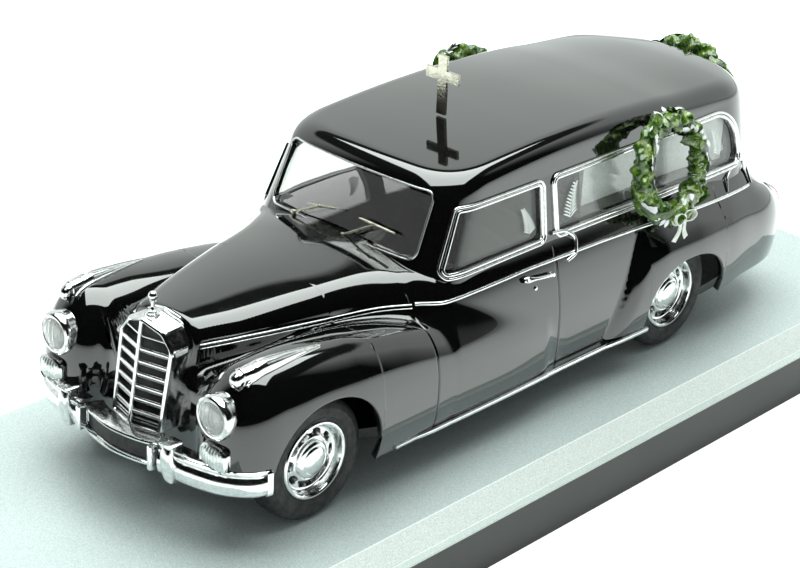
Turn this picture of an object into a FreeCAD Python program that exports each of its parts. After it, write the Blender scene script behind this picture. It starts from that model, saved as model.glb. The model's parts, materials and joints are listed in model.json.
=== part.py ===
"""Scale model of a 1950s hearse screwed to its display plinth.

Every shape is built with the road level (the plinth's top face) at z = 0 and the middle of the
wheelbase at y = 0, the radiator facing -Y and the car's left side towards +X. save() then moves it so
that the origin lies under the middle of the plinth's underside.
"""
import FreeCAD
import Part
import math
import os

V = FreeCAD.Vector

# ---------------------------------------------------------------- driving dimensions, millimetres
# plinth
plinth_length = 163.0
plinth_width = 63.4
plinth_height = 8.9
plinth_wall = 2.0
plinth_corner = 2.5
pad_rise = 2.2            # raised top, from the cover's ledge up
pad_ledge = 1.0           # width of the ledge that a clear cover stands on
pad_bevel = 3.1           # how far the raised top slopes in
plinth_skin = 2.4         # thickness of the top
plinth_centre_y = 5.8     # plinth's middle behind the middle of the wheelbase

# mounting screws
screw_places = (-21.0, 18.0)
screw_radius = 1.45
screw_head_radius = 2.8
screw_head_height = 1.6
screw_clearance = 0.05
boss_radius = 3.6
boss_depth = 3.0
post_radius = 2.6

# driver's place
steering_tilt = 28.0      # degrees from upright
steering_centre = (8.0, -0.6, 22.3)
steering_radius = 3.6
steering_rim = 0.35
steering_column = 8.2

# wheels and axles
wheelbase = 71.0
tyre_radius = 8.15
tyre_width = 4.2
tyre_lift = 0.12          # the tyres stop just short of the plinth
rim_radius = 5.0
wheel_face_x = 18.6
axle_radius = 0.75
axle_clearance = 0.05
wheel_slots = 10
slot_radius = 0.42
slot_circle = 3.35
tyre_bead = 0.5           # sides drawn in at the rim
tyre_shoulder = 0.55
tyre_shoulder_drop = 0.35
front_arch_radius = 9.1
rear_arch_half = 8.9      # rear arch is lower than a half circle
rear_arch_rise = 6.7
rear_arch_corner = 6.2
wheel_room = 0.75         # around the tyre inside the body
wheel_well_x = 13.2
rear_skin_x = 19.3        # inner face of the rear wing's outer skin

# body
shell_wall = 1.3
wing_tuck = 0.25          # the wings' sides lean in towards the foot
wing_inner_drop = 2.6
tail_corner_extra = 4.4   # the roof's rear corners are rounder than its front ones
body_bottom = 5.6
belt_level = 23.0         # the doors' hollow ends here and the windows' hollow goes on
wing_foot = 4.4           # the wings are cut off at body_bottom
floor_top = 6.0
chassis_thickness = 1.3
glass_thickness = 0.5
glass_recess = 0.35
window_corner = 0.8
trim_height = 0.35        # how far bright trim stands off the paint
trim_width = 0.6
fit_gap = 0.08            # between pieces of the fixed body

screen_reach = (-24.0, -4.0)       # windscreen cuts run between these
rear_screen_reach = (50.0, 66.0)
belt_strip_line = (-16.0, 54.0, 22.9, 19.9)   # front y, rear y, height in front, height behind
sill_strip_line = (-24.0, 27.0, 6.1, 6.1)
strip_height = 0.7

# parts under the floor
sump_half = 3.4
sump_drop = 0.9
sump_front_y = -40.0
sump_rear_y = -26.0
shaft_half = 1.6
shaft_drop = 0.5
shaft_rear_y = 30.0
exhaust_x = 6.0
pipe_radius = 0.75
pipe_front_y = -8.0
silencer_radius = 1.5
silencer_y = 4.0
silencer_length = 12.0
tail_pipe_radius = 0.6
tail_pipe_y = 28.0
tail_pipe_length = 34.0

# inside
floor_thickness = 1.0
seat_half = 13.5
seat_front_y = 3.5
seat_rear_y = 13.0
seat_back_depth = 3.0
cushion_height = 6.5
seat_height = 15.0
seat_edge = 0.9
dashboard_depth = 4.0
dashboard_low = 19.5
dashboard_high = 25.4
partition_opening = ((10, 24.5, 1.2), (9.5, 32.0, 1.2), (-9.5, 32.0, 1.2), (-10, 24.5, 1.2))
lining = 0.8
rail_places = (-6.0, -2.0, 2.0, 6.0)
rail_half = 0.4
rail_height = 0.5
curtain_top = 31.6
curtain_end_y = 50.0
curtain_thickness = 0.7
curtain_gap = 0.6

# radiator and bumpers
radiator_top = 24.6
radiator_bottom = 10.8
radiator_half_width = 4.9
radiator_nose_y = -49.4
radiator_depth = 3.4
radiator_rim = 1.15       # width of the bright rim seen from the front
radiator_rim_top = 0.9
radiator_back_y = -44.6
bar_row_height = 10.4
bar_slot_share = 0.64     # share of the pitch that stays open between two bars
bar_centre_half = 0.35
ornament_foot = 0.9
ornament_stem = 0.3
ornament_ball = 0.85
ornament_rise = 2.2
ornament_back = 3.9
radiator_bars = 8
bumper_z = 10.1
bumper_recess = 0.45      # middle of the bumper between the guards
guard_x = 9.7
guard_y = -51.9
guard_reach = 2.2         # from its front to the bumper's face
guard_sections = ((-3.0, 0.7, 0.9), (-1.2, 1.3, 1.5), (1.4, 1.3, 1.7), (2.9, 0.9, 1.3))
recess_half = 5.9
recess_height = 0.95
front_iron_reach = (-50.2, -44.0)
rear_iron_reach = (58.0, 66.0)
rear_iron_x = 9.0
iron_half = 0.7
bumper_height = 3.2
bumper_thickness = 1.1

# lamps
headlamp_x = 14.8
headlamp_z = 17.65
headlamp_front_y = -49.2
headlamp_radius = 2.85
headlamp_depth = 4.6
headlamp_taper = 0.9
fog_lamp_x = 14.9
fog_lamp_front_y = -48.8
fog_lamp_z = 12.5
fog_lamp_width = 4.3
fog_lamp_height = 3.3
fog_lamp_depth = 3.6
fog_lamp_corner = 1.0
lens_rim = 0.75
lens_rise = 1.3
lens_set = 0.9
tail_lamp_x = 15.2
tail_lamp_z = 14.6
tail_lamp_y = 64.9
tail_lamp_depth = 6.0
tail_lamp_half = 1.0
tail_lamp_rise = 2.4

# roof ornament and wreaths
cross_y = 5.0
cross_height = 8.6
cross_span = 5.8
cross_bar = 1.5
cross_thickness = 0.45
cross_foot = 0.6
cross_arm_share = 0.68
wreath_radius = 6.2
wreath_thickness = 1.5

catwalk_stations = (
    (-45.8, 11.6, 10.6, 17.4),
    (-44.0, 11.0, 8.0, 18.6),
    (-30.0, 11.0, body_bottom, 19.2),
    (-17.0, 12.0, body_bottom, 18.6),
)
firewall_y = -12.6
tailgate_y = 58.4
chassis_front_y = -42.0
partition_y = 15.4
load_floor_z = 10.6
bay_half = 12.9
bay_top = 22.6
curtain_pitch = 2.0
bearing_x = 12.6
bearing_width = 3.4
bearing_half = 1.5
tyre_inset = 0.45
roof_at_cross = 37.6
radiator_rows = ((radiator_bottom, 1.0), (18.0, 1.05), (21.6, 1.03), (23.2, 0.86), (24.0, 0.55))
radiator_opening_depth = 1.5
bar_depth = 1.1
first_bar = 1.5           # above the radiator's foot
radiator_lean = 0.165
radiator_point = 0.27
wing_lamp_x = 16.0
wing_lamp_stations = (
    (-46.4, 0.8, 21.0, 22.2),
    (-45.6, 1.15, 21.0, 23.4),
    (-42.0, 1.0, 21.0, 23.3),
    (-36.0, 0.35, 21.0, 22.7),
)
front_bumper_points = ((6.6, -51.0), (15.5, -49.6), (20.6, -44.6))
rear_bumper_points = ((5.0, 66.6), (9.6, 66.4), (13.4, 64.6))
handle_x = 20.9
handle_half = 2.2
handle_bar = 0.7
handle_places = ((4.6, 20.2), (47.0, 19.6))
wreath_places = (
    ("left", (19.35, 30.8, 29.1), (1.0, 0.0, 0.23)),
    ("right", (-19.35, 29.1, 29.1), (-1.0, 0.0, 0.23)),
    ("rear", (0.0, 61.5, 28.4), (0.0, 1.0, 0.16)),
)

hub_z = tyre_radius + tyre_lift
front_y = -wheelbase / 2.0
rear_y = wheelbase / 2.0


# ---------------------------------------------------------------- helpers
def save(name, shape):
    """Move one piece into the part's frame and write it."""
    piece = shape.copy()
    piece.translate(V(0, -plinth_centre_y, plinth_height))
    piece.exportStep("parts/" + name + ".step")


def box(x0, x1, y0, y1, z0, z1):
    return Part.makeBox(x1 - x0, y1 - y0, z1 - z0, V(x0, y0, z0))


def mirrored(shape):
    """The same piece on the car's right side."""
    return shape.mirror(V(0, 0, 0), V(1, 0, 0))


def cylinder_x(radius, x0, x1, y, z):
    return Part.makeCylinder(radius, x1 - x0, V(x0, y, z), V(1, 0, 0))


def arc(a, b, c):
    return Part.Arc(V(*a), V(*b), V(*c)).toShape()


def line(a, b):
    return Part.makeLine(V(*a), V(*b))


def loft(wires):
    return Part.makeLoft(wires, True, False)


def revolved_x(points, x_base, y, z):
    """Solid of revolution about an axis along X; points are (x, radius) pairs."""
    ring = [V(x_base + px, y, z + radius) for px, radius in points]
    face = Part.Face(Part.makePolygon(ring + [ring[0]]))
    return face.revolve(V(0, y, z), V(1, 0, 0), 360)


def side_outline(corners, radius, x):
    """Closed outline in the plane x = const with rounded corners; corners are (y, z, r) or (y, z)."""
    points = [V(x, c[0], c[1]) for c in corners]
    radii = [c[2] if len(c) > 2 else radius for c in corners]
    return rounded(points, radii)


def rounded(points, radii):
    """Closed polygon whose corners are tangent arcs."""
    count = len(points)
    starts, ends, mids = [], [], []
    for i in range(count):
        here, before, after = points[i], points[i - 1], points[(i + 1) % count]
        a = (before - here).normalize()
        b = (after - here).normalize()
        half = math.acos(max(-1.0, min(1.0, a.dot(b)))) / 2.0
        reach = radii[i] / math.tan(half)
        centre = here + (a + b).normalize() * (radii[i] / math.sin(half))
        starts.append(here + a * reach)
        ends.append(here + b * reach)
        mids.append(centre + (here - centre).normalize() * radii[i])
    edges = []
    for i in range(count):
        edges.append(Part.Arc(starts[i], mids[i], ends[i]).toShape())
        edges.append(Part.makeLine(ends[i], starts[(i + 1) % count]))
    return Part.Wire(edges)


def prism(wire, direction):
    return Part.Face(wire).extrude(direction)


def joined(first, others):
    """Fuse the pieces one after another."""
    whole = first
    for piece in others:
        whole = whole.fuse(piece)
    return whole


# ---------------------------------------------------------------- body surfaces
# central hull: y, x at the sill, widest x, its z, x at the belt, belt z, crown z
hull_stations = (
    (-44.6, 5.2, 5.6, 17.0, 5.3, 22.4, 24.5),
    (-38.0, 8.4, 8.8, 17.0, 8.2, 22.7, 25.1),
    (-28.0, 12.2, 12.4, 16.0, 10.8, 23.1, 26.0),
    (-19.0, 17.0, 17.4, 14.0, 13.6, 23.5, 26.6),
    (-12.0, 18.5, 19.3, 13.5, 17.3, 24.0, 26.8),
    (10.0, 18.8, 19.6, 13.0, 18.0, 24.2, 27.0),
    (35.0, 18.8, 19.6, 13.0, 17.9, 24.0, 27.0),
    (50.0, 18.2, 19.2, 13.5, 17.2, 23.4, 26.6),
    (58.0, 16.2, 17.2, 13.5, 14.4, 21.6, 24.4),
    (62.6, 13.0, 14.6, 13.0, 12.0, 19.2, 21.0),
)

# front wing: y, inner x, crown x, crown z, widest x, its z, lowest z
front_wing_stations = (
    (-48.2, 12.2, 15.0, 18.9, 17.7, 15.2, 11.0),
    (-46.6, 10.4, 15.4, 21.4, 19.5, 16.2, 9.2),
    (-43.5, 9.0, 16.0, 22.3, 20.4, 16.0, 6.5),
    (-35.0, 8.5, 16.4, 22.4, 20.8, 15.6, 4.9),
    (-24.0, 8.5, 16.6, 21.4, 20.8, 15.0, body_bottom),
    (-14.0, 8.5, 16.6, 19.6, 20.5, 13.8, body_bottom),
    (-3.0, 8.5, 16.6, 17.0, 20.0, 12.2, body_bottom),
    (6.0, 8.5, 16.6, 14.2, 19.3, 11.0, body_bottom),
)

rear_wing_stations = (
    (19.5, 10.0, 16.5, 7.6, 19.0, 6.0, wing_foot),
    (23.0, 10.0, 16.6, 14.0, 20.5, 9.0, wing_foot),
    (26.5, 10.0, 16.6, 19.8, 20.9, 14.5, wing_foot),
    (34.0, 10.0, 16.6, 21.2, 21.2, 15.5, wing_foot),
    (44.0, 10.0, 16.4, 20.8, 21.0, 15.0, 6.4),
    (53.0, 9.5, 15.8, 19.8, 20.4, 14.4, 7.2),
    (59.0, 8.0, 14.6, 18.5, 19.3, 13.4, 7.5),
    (62.6, 7.0, 12.8, 16.8, 17.7, 12.6, 7.8),
    (64.5, 6.0, 10.8, 14.6, 15.4, 11.8, 8.6),
)

# greenhouse and roof: z, half width, front y at the side, rear y at the side, corner radius, bow
roof_stations = (
    (22.4, 17.6, -15.2, 58.4, 3.6, 0.9),
    (28.0, 16.8, -13.0, 58.2, 3.8, 0.9),
    (33.4, 15.9, -10.6, 57.6, 4.2, 1.0),
    (35.4, 15.6, -9.6, 56.2, 4.8, 0.8),
    (36.7, 14.6, -6.8, 50.6, 5.6, 1.0),
    (37.5, 12.6, 0.0, 42.0, 5.6, 1.0),
    (38.0, 10.0, 4.0, 37.0, 5.0, 0.9),
)


def hull(grow, stations=hull_stations, bottom=body_bottom):
    wires = []
    for y, sill, wide, wide_z, belt, belt_z, crown in stations:
        a = (sill + grow, y, bottom)
        b = (wide + grow, y, wide_z)
        c = (belt + grow, y, belt_z + 0.6 * grow)
        d = (0, y, crown + grow)
        right = [(-p[0], p[1], p[2]) for p in (a, b, c)]
        edges = [arc(a, b, c), arc(c, d, right[2]), arc(right[2], right[1], right[0])]
        wires.append(Part.Wire(edges + [line(right[0], a)]))
    return loft(wires)


def wing(stations, grow=0.0):
    """Wing whose side rises straight to its widest point and then turns in one arc to its crown."""
    wires = []
    for y, inner, crown_x, crown_z, wide, wide_z, low in stations:
        a = (inner, y, low)
        b = (wide + grow - wing_tuck, y, low)
        w = (wide + grow, y, wide_z)
        c = (crown_x, y, crown_z + grow)
        run = w[0] - c[0]
        rise = c[2] - w[2]
        radius = (run * run + rise * rise) / (2.0 * run)
        half = math.atan2(rise, radius - run) / 2.0
        shoulder = (w[0] - radius + radius * math.cos(half), y, w[2] + radius * math.sin(half))
        top = (inner, y, crown_z - wing_inner_drop)
        saddle = ((inner + crown_x) / 2.0 - 0.3, y, crown_z - 0.9 + grow)
        edges = [line(a, b), line(b, w), arc(w, shoulder, c), arc(c, saddle, top), line(top, a)]
        wires.append(Part.Wire(edges))
    return loft(wires)


def greenhouse(grow, low_z=None, stations=roof_stations):
    wires = []
    for z, half, front, rear, corner, bow in stations:
        x = half + grow
        f = front - grow
        r = rear + grow
        top = z + (grow if z > 34.0 else 0.0)
        k = min(corner, 0.7 * x)
        t = min(corner + tail_corner_extra, 0.7 * x)
        d = k * (1 - math.sqrt(0.5))
        e = t * (1 - math.sqrt(0.5))
        edges = [
            arc((x - k, f, top), (0, f - bow, top), (k - x, f, top)),
            arc((k - x, f, top), (d - x, f + d, top), (-x, f + k, top)),
            line((-x, f + k, top), (-x, r - t, top)),
            arc((-x, r - t, top), (e - x, r - e, top), (t - x, r, top)),
            arc((t - x, r, top), (0, r + bow, top), (x - t, r, top)),
            arc((x - t, r, top), (x - e, r - e, top), (x, r - t, top)),
            line((x, r - t, top), (x, f + k, top)),
            arc((x, f + k, top), (x - d, f + d, top), (x - k, f, top)),
        ]
        wires.append(Part.Wire(edges))
    return loft(wires)


# window outlines seen from the side: (y, z, corner radius)
door_window = ((-11.4, 25.2, 0.8), (-7.9, 32.2, 0.8), (7.2, 32.2, 0.8), (6.9, 25.1, 0.8))
side_window = ((10.4, 25.0, 0.8), (10.2, 32.2, 0.8), (49.8, 31.8, 5.6), (51.2, 24.4, 1.2))
windscreen_outline = ((13.0, 26.6, 1.3), (12.7, 34.5, 1.4), (-12.7, 34.5, 1.4), (-13.0, 26.6, 1.3))
rear_window_outline = ((9.5, 25.0, 1.6), (9.0, 32.6, 2.2), (-9.0, 32.6, 2.2), (-9.5, 25.0, 1.6))


def outline_grown(corners, grow):
    """A window outline moved outward by grow on every side."""
    mid_a = sum(c[0] for c in corners) / len(corners)
    mid_z = sum(c[1] for c in corners) / len(corners)
    out = []
    for a, z, r in corners:
        step_a = grow if a > mid_a else -grow
        step_z = grow if z > mid_z else -grow
        out.append((a + step_a, z + step_z, max(0.3, r + grow * 0.6)))
    return out


def side_prism(corners, grow, x0=10.0, x1=25.0):
    wire = side_outline(outline_grown(corners, grow), window_corner, x0)
    return prism(wire, V(x1 - x0, 0, 0))


def end_prism(corners, grow, y0, y1):
    grown = outline_grown(corners, grow)
    wire = rounded([V(c[0], y0, c[1]) for c in grown], [c[2] for c in grown])
    return prism(wire, V(0, y1 - y0, 0))


def make_body():
    """One hollow casting: hull, wings and roof, with windows, wheel arches and inside cut away."""
    outer = outer_body()
    inside = cabin_space(0.0).fuse(engine_space())
    inside = inside.fuse(chassis_room(0.0, 0.0, floor_top))
    shell = outer.cut(inside)
    cuts = [side_prism(w, 0.0) for w in (door_window, side_window)]
    cuts += [mirrored(c) for c in cuts]
    cuts.append(end_prism(windscreen_outline, 0.0, *screen_reach))
    cuts.append(end_prism(rear_window_outline, 0.0, *rear_screen_reach))
    cuts += wheel_wells()
    return shell.cut(Part.makeCompound(cuts))


def outer_body():
    catwalk = []
    for y, half, low, high in catwalk_stations:
        corners = [V(-half, y, low), V(half, y, low), V(half, y, high), V(-half, y, high)]
        catwalk.append(Part.makePolygon(corners + [corners[0]]))
    pieces = [Part.makeLoft(catwalk, True, True)]
    for stations in (front_wing_stations, rear_wing_stations):
        pieces += [wing(stations), mirrored(wing(stations))]
    body = joined(hull(0.0), pieces + [greenhouse(0.0)])
    return body.cut(box(-40, 40, -70, 80, -10, body_bottom))


def cabin_space(gap):
    """The hollow between firewall and tailgate, smaller by gap all round."""
    low = hull(-shell_wall - gap).common(box(-30, 30, firewall_y + gap, tailgate_y - gap, 0, belt_level))
    high = greenhouse(-shell_wall - gap).common(box(-30, 30, -30, tailgate_y - gap, belt_level, 40))
    return low.fuse(high)


def chassis_room(gap, low, high):
    """Space that the chassis plate takes inside the body's lower edge."""
    footprint = hull(-shell_wall - gap)
    return footprint.common(box(-30, 30, chassis_front_y + gap, tailgate_y - 0.6 - gap, low, high))


def engine_space():
    room = hull(-shell_wall - 0.6).common(box(-30, 30, front_y - 6.5, firewall_y - 2.4, 0, 40))
    slot = box(-wheel_well_x, wheel_well_x, front_y - 3.2, front_y + 3.2, 0, hub_z + 2.6)
    return room.fuse(slot)


def rear_arch():
    """Flattened opening that covers the top of the rear wheel."""
    y0 = rear_y - rear_arch_half
    y1 = rear_y + rear_arch_half
    top = hub_z + rear_arch_rise
    corners = ((y0, -4.0, 1.0), (y0, top), (y1, top), (y1, -4.0, 1.0))
    return prism(side_outline(corners, rear_arch_corner, wheel_well_x), V(30.0 - wheel_well_x, 0, 0))


def wheel_wells():
    cuts = []
    room = tyre_radius + wheel_room
    for side in (1, -1):
        front = cylinder_x(front_arch_radius, wheel_well_x, 30.0, front_y, hub_z)
        well = cylinder_x(room, wheel_well_x, rear_skin_x, rear_y, hub_z)
        arch = rear_arch()
        for cut in (front, well, arch):
            cuts.append(cut if side > 0 else mirrored(cut))
    for y in (front_y, rear_y):
        cuts.append(box(-wheel_well_x, wheel_well_x, y - 1.6, y + 1.6, 0, hub_z + 1.6))
    return cuts


# ---------------------------------------------------------------- glass and bright frames
def make_glass(cut):
    outer = greenhouse(-glass_recess)
    inner = greenhouse(-glass_recess - glass_thickness)
    return outer.cut(inner).common(cut)


def make_frame(outer, outer_cut, inner_cut):
    """Bright frame round a window, standing off the paint."""
    raised = greenhouse(trim_height).cut(greenhouse(0.0))
    return raised.common(outer_cut).cut(inner_cut).cut(outer)


def make_end_frame(outer, outline, y0, y1):
    return make_frame(outer, end_prism(outline, trim_width, y0, y1), end_prism(outline, 0.0, y0, y1))


def make_strip(outer, y0, y1, z0, z1, height):
    """Bright strip on the body's side between y0 and y1, its middle falling from z0 to z1."""
    half = height / 2.0
    corners = [V(6, y0, z0 - half), V(6, y1, z1 - half), V(6, y1, z1 + half), V(6, y0, z0 + half)]
    band = prism(Part.makePolygon(corners + [corners[0]]), V(20, 0, 0))
    raised = [wing(stations, trim_height) for stations in (front_wing_stations, rear_wing_stations)]
    raised += [hull(trim_height), greenhouse(trim_height)]
    behind = outer.common(band)
    pieces = [form.common(band).cut(behind) for form in raised]
    pieces = [piece for piece in pieces if piece.Volume > 0.001]
    return joined(pieces[0], pieces[1:])


# ---------------------------------------------------------------- plinth and chassis
def rounded_slab(half_x, y0, y1, z, corner):
    points = [V(-half_x, y0, z), V(half_x, y0, z), V(half_x, y1, z), V(-half_x, y1, z)]
    return rounded(points, [corner] * 4)


def make_plinth():
    half = plinth_width / 2.0
    y0 = plinth_centre_y - plinth_length / 2.0
    y1 = plinth_centre_y + plinth_length / 2.0
    ledge_z = -pad_rise
    base = prism(rounded_slab(half, y0, y1, -plinth_height, plinth_corner), V(0, 0, plinth_height - pad_rise))
    low = rounded_slab(half - pad_ledge, y0 + pad_ledge, y1 - pad_ledge, ledge_z, plinth_corner)
    inset = pad_ledge + pad_bevel
    high = rounded_slab(half - inset, y0 + inset, y1 - inset, 0.0, plinth_corner)
    plinth = base.fuse(loft([low, high]))
    w = plinth_wall
    room = box(w - half, half - w, y0 + w, y1 - w, -plinth_height, -plinth_skin)
    plinth = plinth.cut(room)
    for y in screw_places:
        boss = Part.makeCylinder(boss_radius, boss_depth, V(0, y, -plinth_skin - boss_depth))
        plinth = plinth.fuse(boss)
    for y in screw_places:
        hole = Part.makeCylinder(screw_radius + screw_clearance, 20.0, V(0, y, -15.0))
        plinth = plinth.cut(hole)
    return plinth


def make_screws():
    screws = []
    for y in screw_places:
        seat = -plinth_skin - boss_depth
        head = Part.makeCylinder(screw_head_radius, screw_head_height, V(0, y, seat - screw_head_height))
        slot_box = box(-3.0, 3.0, y - 0.3, y + 0.3, seat - screw_head_height, seat - screw_head_height + 0.6)
        shank = Part.makeCylinder(screw_radius, floor_top - seat - 0.8, V(0, y, seat))
        screws.append(head.fuse(shank).cut(slot_box))
    return Part.makeCompound(screws)


def make_chassis():
    plate_z = floor_top - chassis_thickness
    room = chassis_room(fit_gap, 0.0, 40.0)
    foot = [f for f in room.Faces if f.BoundBox.ZMax < body_bottom + 0.01][0]
    plate = foot.extrude(V(0, 0, chassis_thickness)).translated(V(0, 0, plate_z - body_bottom))
    for y in (front_y, rear_y):
        for side in (1, -1):
            x0, x1 = (bearing_x - bearing_width, bearing_x)
            block = box(x0, x1, y - bearing_half, y + bearing_half, plate_z, load_floor_z)
            plate = plate.fuse(block if side > 0 else mirrored(block))
        bar = box(-bearing_x, bearing_x, y - bearing_half, y + bearing_half, plate_z, floor_top)
        plate = plate.fuse(bar)
    for y in screw_places:
        plate = plate.fuse(Part.makeCylinder(post_radius, floor_top, V(0, y, 0)))
    # engine sump, gearbox and propeller-shaft cover moulded under the plate
    sump = box(-sump_half, sump_half, sump_front_y, sump_rear_y, plate_z - sump_drop, plate_z)
    cover = box(-shaft_half, shaft_half, sump_rear_y, shaft_rear_y, plate_z - shaft_drop, plate_z)
    plate = joined(plate, [sump, cover])
    for cut in wheel_wells()[:6]:
        plate = plate.cut(cut)
    for y in screw_places:
        plate = plate.cut(Part.makeCylinder(screw_radius + screw_clearance, 20.0, V(0, y, -10.0)))
    for y in (front_y, rear_y):
        plate = plate.cut(cylinder_x(axle_radius + axle_clearance, -20, 20, y, hub_z))
    return plate


def make_exhaust():
    """Pipe, silencer and tail pipe lying flat against the plate."""
    z = floor_top - chassis_thickness - pipe_radius
    along = V(0, 1, 0)
    pipe = Part.makeCylinder(pipe_radius, tail_pipe_y - pipe_front_y, V(exhaust_x, pipe_front_y, z), along)
    silencer = Part.makeCylinder(silencer_radius, silencer_length, V(exhaust_x, silencer_y, z), along)
    tail = Part.makeCylinder(tail_pipe_radius, tail_pipe_length, V(exhaust_x, tail_pipe_y, z), along)
    return pipe.fuse([silencer, tail]).cut(box(-20, 20, -60, 80, floor_top - chassis_thickness, 20))


# ---------------------------------------------------------------- inside
def make_floor(space):
    plate = space.common(box(-30, 30, firewall_y, partition_y, floor_top, floor_top + floor_thickness))
    return plate.cut(Part.makeCompound(wheel_wells()))


def make_front_seat():
    """Bench across the driver's compartment, its long edges rounded."""
    z = floor_top + floor_thickness
    back_y = seat_rear_y - seat_back_depth
    cushion = box(-seat_half, seat_half, seat_front_y, back_y + 1.0, z, z + cushion_height)
    back = box(-seat_half, seat_half, back_y, seat_rear_y, z, z + seat_height)
    seat = cushion.fuse(back).removeSplitter()
    across = [e for e in seat.Edges if abs(e.BoundBox.XLength - 2.0 * seat_half) < 0.01]
    return seat.makeFillet(seat_edge, [e for e in across if e.BoundBox.ZMin > z + 1])


def make_dashboard(space):
    panel = box(-30, 30, firewall_y, firewall_y + dashboard_depth, dashboard_low, dashboard_high)
    return space.common(panel)


def make_steering_wheel(space, dashboard):
    """Rim, cross spoke and a column that ends against the dashboard."""
    tilt = math.radians(steering_tilt)
    axis = V(0, math.cos(tilt), math.sin(tilt))
    centre = V(*steering_centre)
    r = steering_radius
    rim = Part.makeTorus(r, steering_rim, centre, axis)
    spoke = Part.makeCylinder(0.3, 2.0 * r, centre - V(r, 0, 0), V(1, 0, 0))
    column = Part.makeCylinder(0.55, steering_column, centre, axis * -1)
    return rim.fuse([spoke, column]).common(space).cut(dashboard)


def make_partition(space):
    """Wall behind the seat with an opening above its back."""
    wall = space.common(box(-30, 30, partition_y, partition_y + 1.0, floor_top, 40))
    return wall.cut(end_prism(partition_opening, 0, partition_y - 5.0, partition_y + 5.0))


def make_load_bay(space):
    """Tray for the coffin with side linings, moulded in one piece."""
    y0 = partition_y + 1.0
    y1 = tailgate_y - 1.2
    deck = box(-bay_half, bay_half, y0, y1, load_floor_z, load_floor_z + 1.0)
    tray = deck
    for side in (1, -1):
        wall = box(bay_half - lining, bay_half, y0, y1, load_floor_z, bay_top)
        shelf = box(bay_half - lining, 25, y0, y1, bay_top - lining, bay_top)
        for piece in (wall, shelf):
            tray = tray.fuse(piece if side > 0 else mirrored(piece))
    rail_top = load_floor_z + 1.0 + rail_height
    for x in rail_places:
        tray = tray.fuse(box(x - rail_half, x + rail_half, y0 + 2.0, y1 - 2.0, load_floor_z, rail_top))
    return tray.common(space)


def make_curtains(space):
    """Gathered curtains just inside the long side windows."""
    hung = []
    for side in (1, -1):
        y = partition_y + 3.0
        x0 = bay_half + curtain_gap
        while y < curtain_end_y:
            fold = box(x0, x0 + curtain_thickness, y, y + curtain_pitch, bay_top, curtain_top)
            hung.append(fold if side > 0 else mirrored(fold))
            y += curtain_pitch
    return hung[0].fuse(hung[1:]).common(space)


# ---------------------------------------------------------------- front and rear fittings
def make_radiator_shell(outer):
    """Pointed shell with a round top, open at the front for its bars."""
    solid = radiator_solid(radiator_half_width, 0.0, 0.0)
    opening = radiator_solid(radiator_half_width - radiator_rim, radiator_rim_top, -1.4)
    back = radiator_solid(2.0 * radiator_half_width, -2.0, radiator_opening_depth)
    return solid.cut(opening.cut(back)).cut(outer)


def radiator_solid(half, lift, push):
    """Radiator block from its foot to its rounded top; push moves its nose forward."""
    wires = []
    for z, share in radiator_rows:
        zz = z + lift if z < 20 else z - lift
        y = radiator_nose_y + push + (z - radiator_bottom) * radiator_lean
        w = half * share
        points = [V(0, y, zz), V(w, y + w * radiator_point, zz)]
        points += [V(w, radiator_back_y, zz), V(-w, radiator_back_y, zz), V(-w, y + w * radiator_point, zz)]
        wires.append(Part.makePolygon(points + [points[0]]))
    return Part.makeLoft(wires, True, True)


def make_radiator_bars(outer):
    """Bars on both sides of a centre rib, cut from one pointed block."""
    block = radiator_solid(radiator_half_width - radiator_rim - fit_gap, radiator_rim_top + fit_gap, 0.35)
    keep = block.cut(radiator_solid(2.0 * radiator_half_width, -2.0, radiator_opening_depth))
    behind = radiator_solid(2.0 * radiator_half_width, -2.0, bar_depth)
    pitch = bar_row_height / radiator_bars
    for i in range(radiator_bars):
        z = radiator_bottom + first_bar + i * pitch
        for side in (1, -1):
            gap = box(bar_centre_half, 10, -60, radiator_back_y, z, z + pitch * bar_slot_share).cut(behind)
            keep = keep.cut(gap if side > 0 else mirrored(gap))
    return keep.cut(outer)


def make_ornament(outer, radiator_shell):
    """Plain cap with a ball finial on the radiator's crown."""
    y = radiator_nose_y + ornament_back
    foot = Part.makeCylinder(ornament_foot, 1.2, V(0, y, radiator_top - 1.1))
    stem = Part.makeCylinder(ornament_stem, ornament_rise, V(0, y, radiator_top - 0.4))
    ball = Part.makeSphere(ornament_ball, V(0, y, radiator_top + ornament_rise))
    return foot.fuse([stem, ball]).cut(outer).cut(radiator_shell)


def revolved_y(points, x, z):
    """Solid of revolution about an axis along Y; points are (y, radius) pairs."""
    ring = [V(x, py, z + radius) for py, radius in points]
    face = Part.Face(Part.makePolygon(ring + [ring[0]]))
    return face.revolve(V(x, 0, z), V(0, 1, 0), 360)


def make_headlamp(outer):
    """Deep rim with a bucket that tapers back into the wing."""
    y = headlamp_front_y
    r = headlamp_radius
    lens = r - lens_rim
    points = ((y + lens_set, 0), (y + lens_set, lens), (y + 0.15, lens), (y - 0.1, r - 0.4), (y + 0.35, r))
    tail = y + headlamp_depth
    points += ((y + 1.3, r), (tail, r - headlamp_taper), (tail, 0))
    return revolved_y(points, headlamp_x, headlamp_z).cut(outer)


def make_headlamp_lens():
    """Domed glass set into the rim."""
    y = headlamp_front_y + lens_set
    lens = headlamp_radius - lens_rim - fit_gap / 2.0
    rise = lens_rise
    ball = (lens * lens + rise * rise) / (2.0 * rise)
    disc = Part.makeCylinder(lens, rise, V(headlamp_x, y, headlamp_z), V(0, -1, 0))
    return disc.common(Part.makeSphere(ball, V(headlamp_x, y - rise + ball, headlamp_z)))


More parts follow.
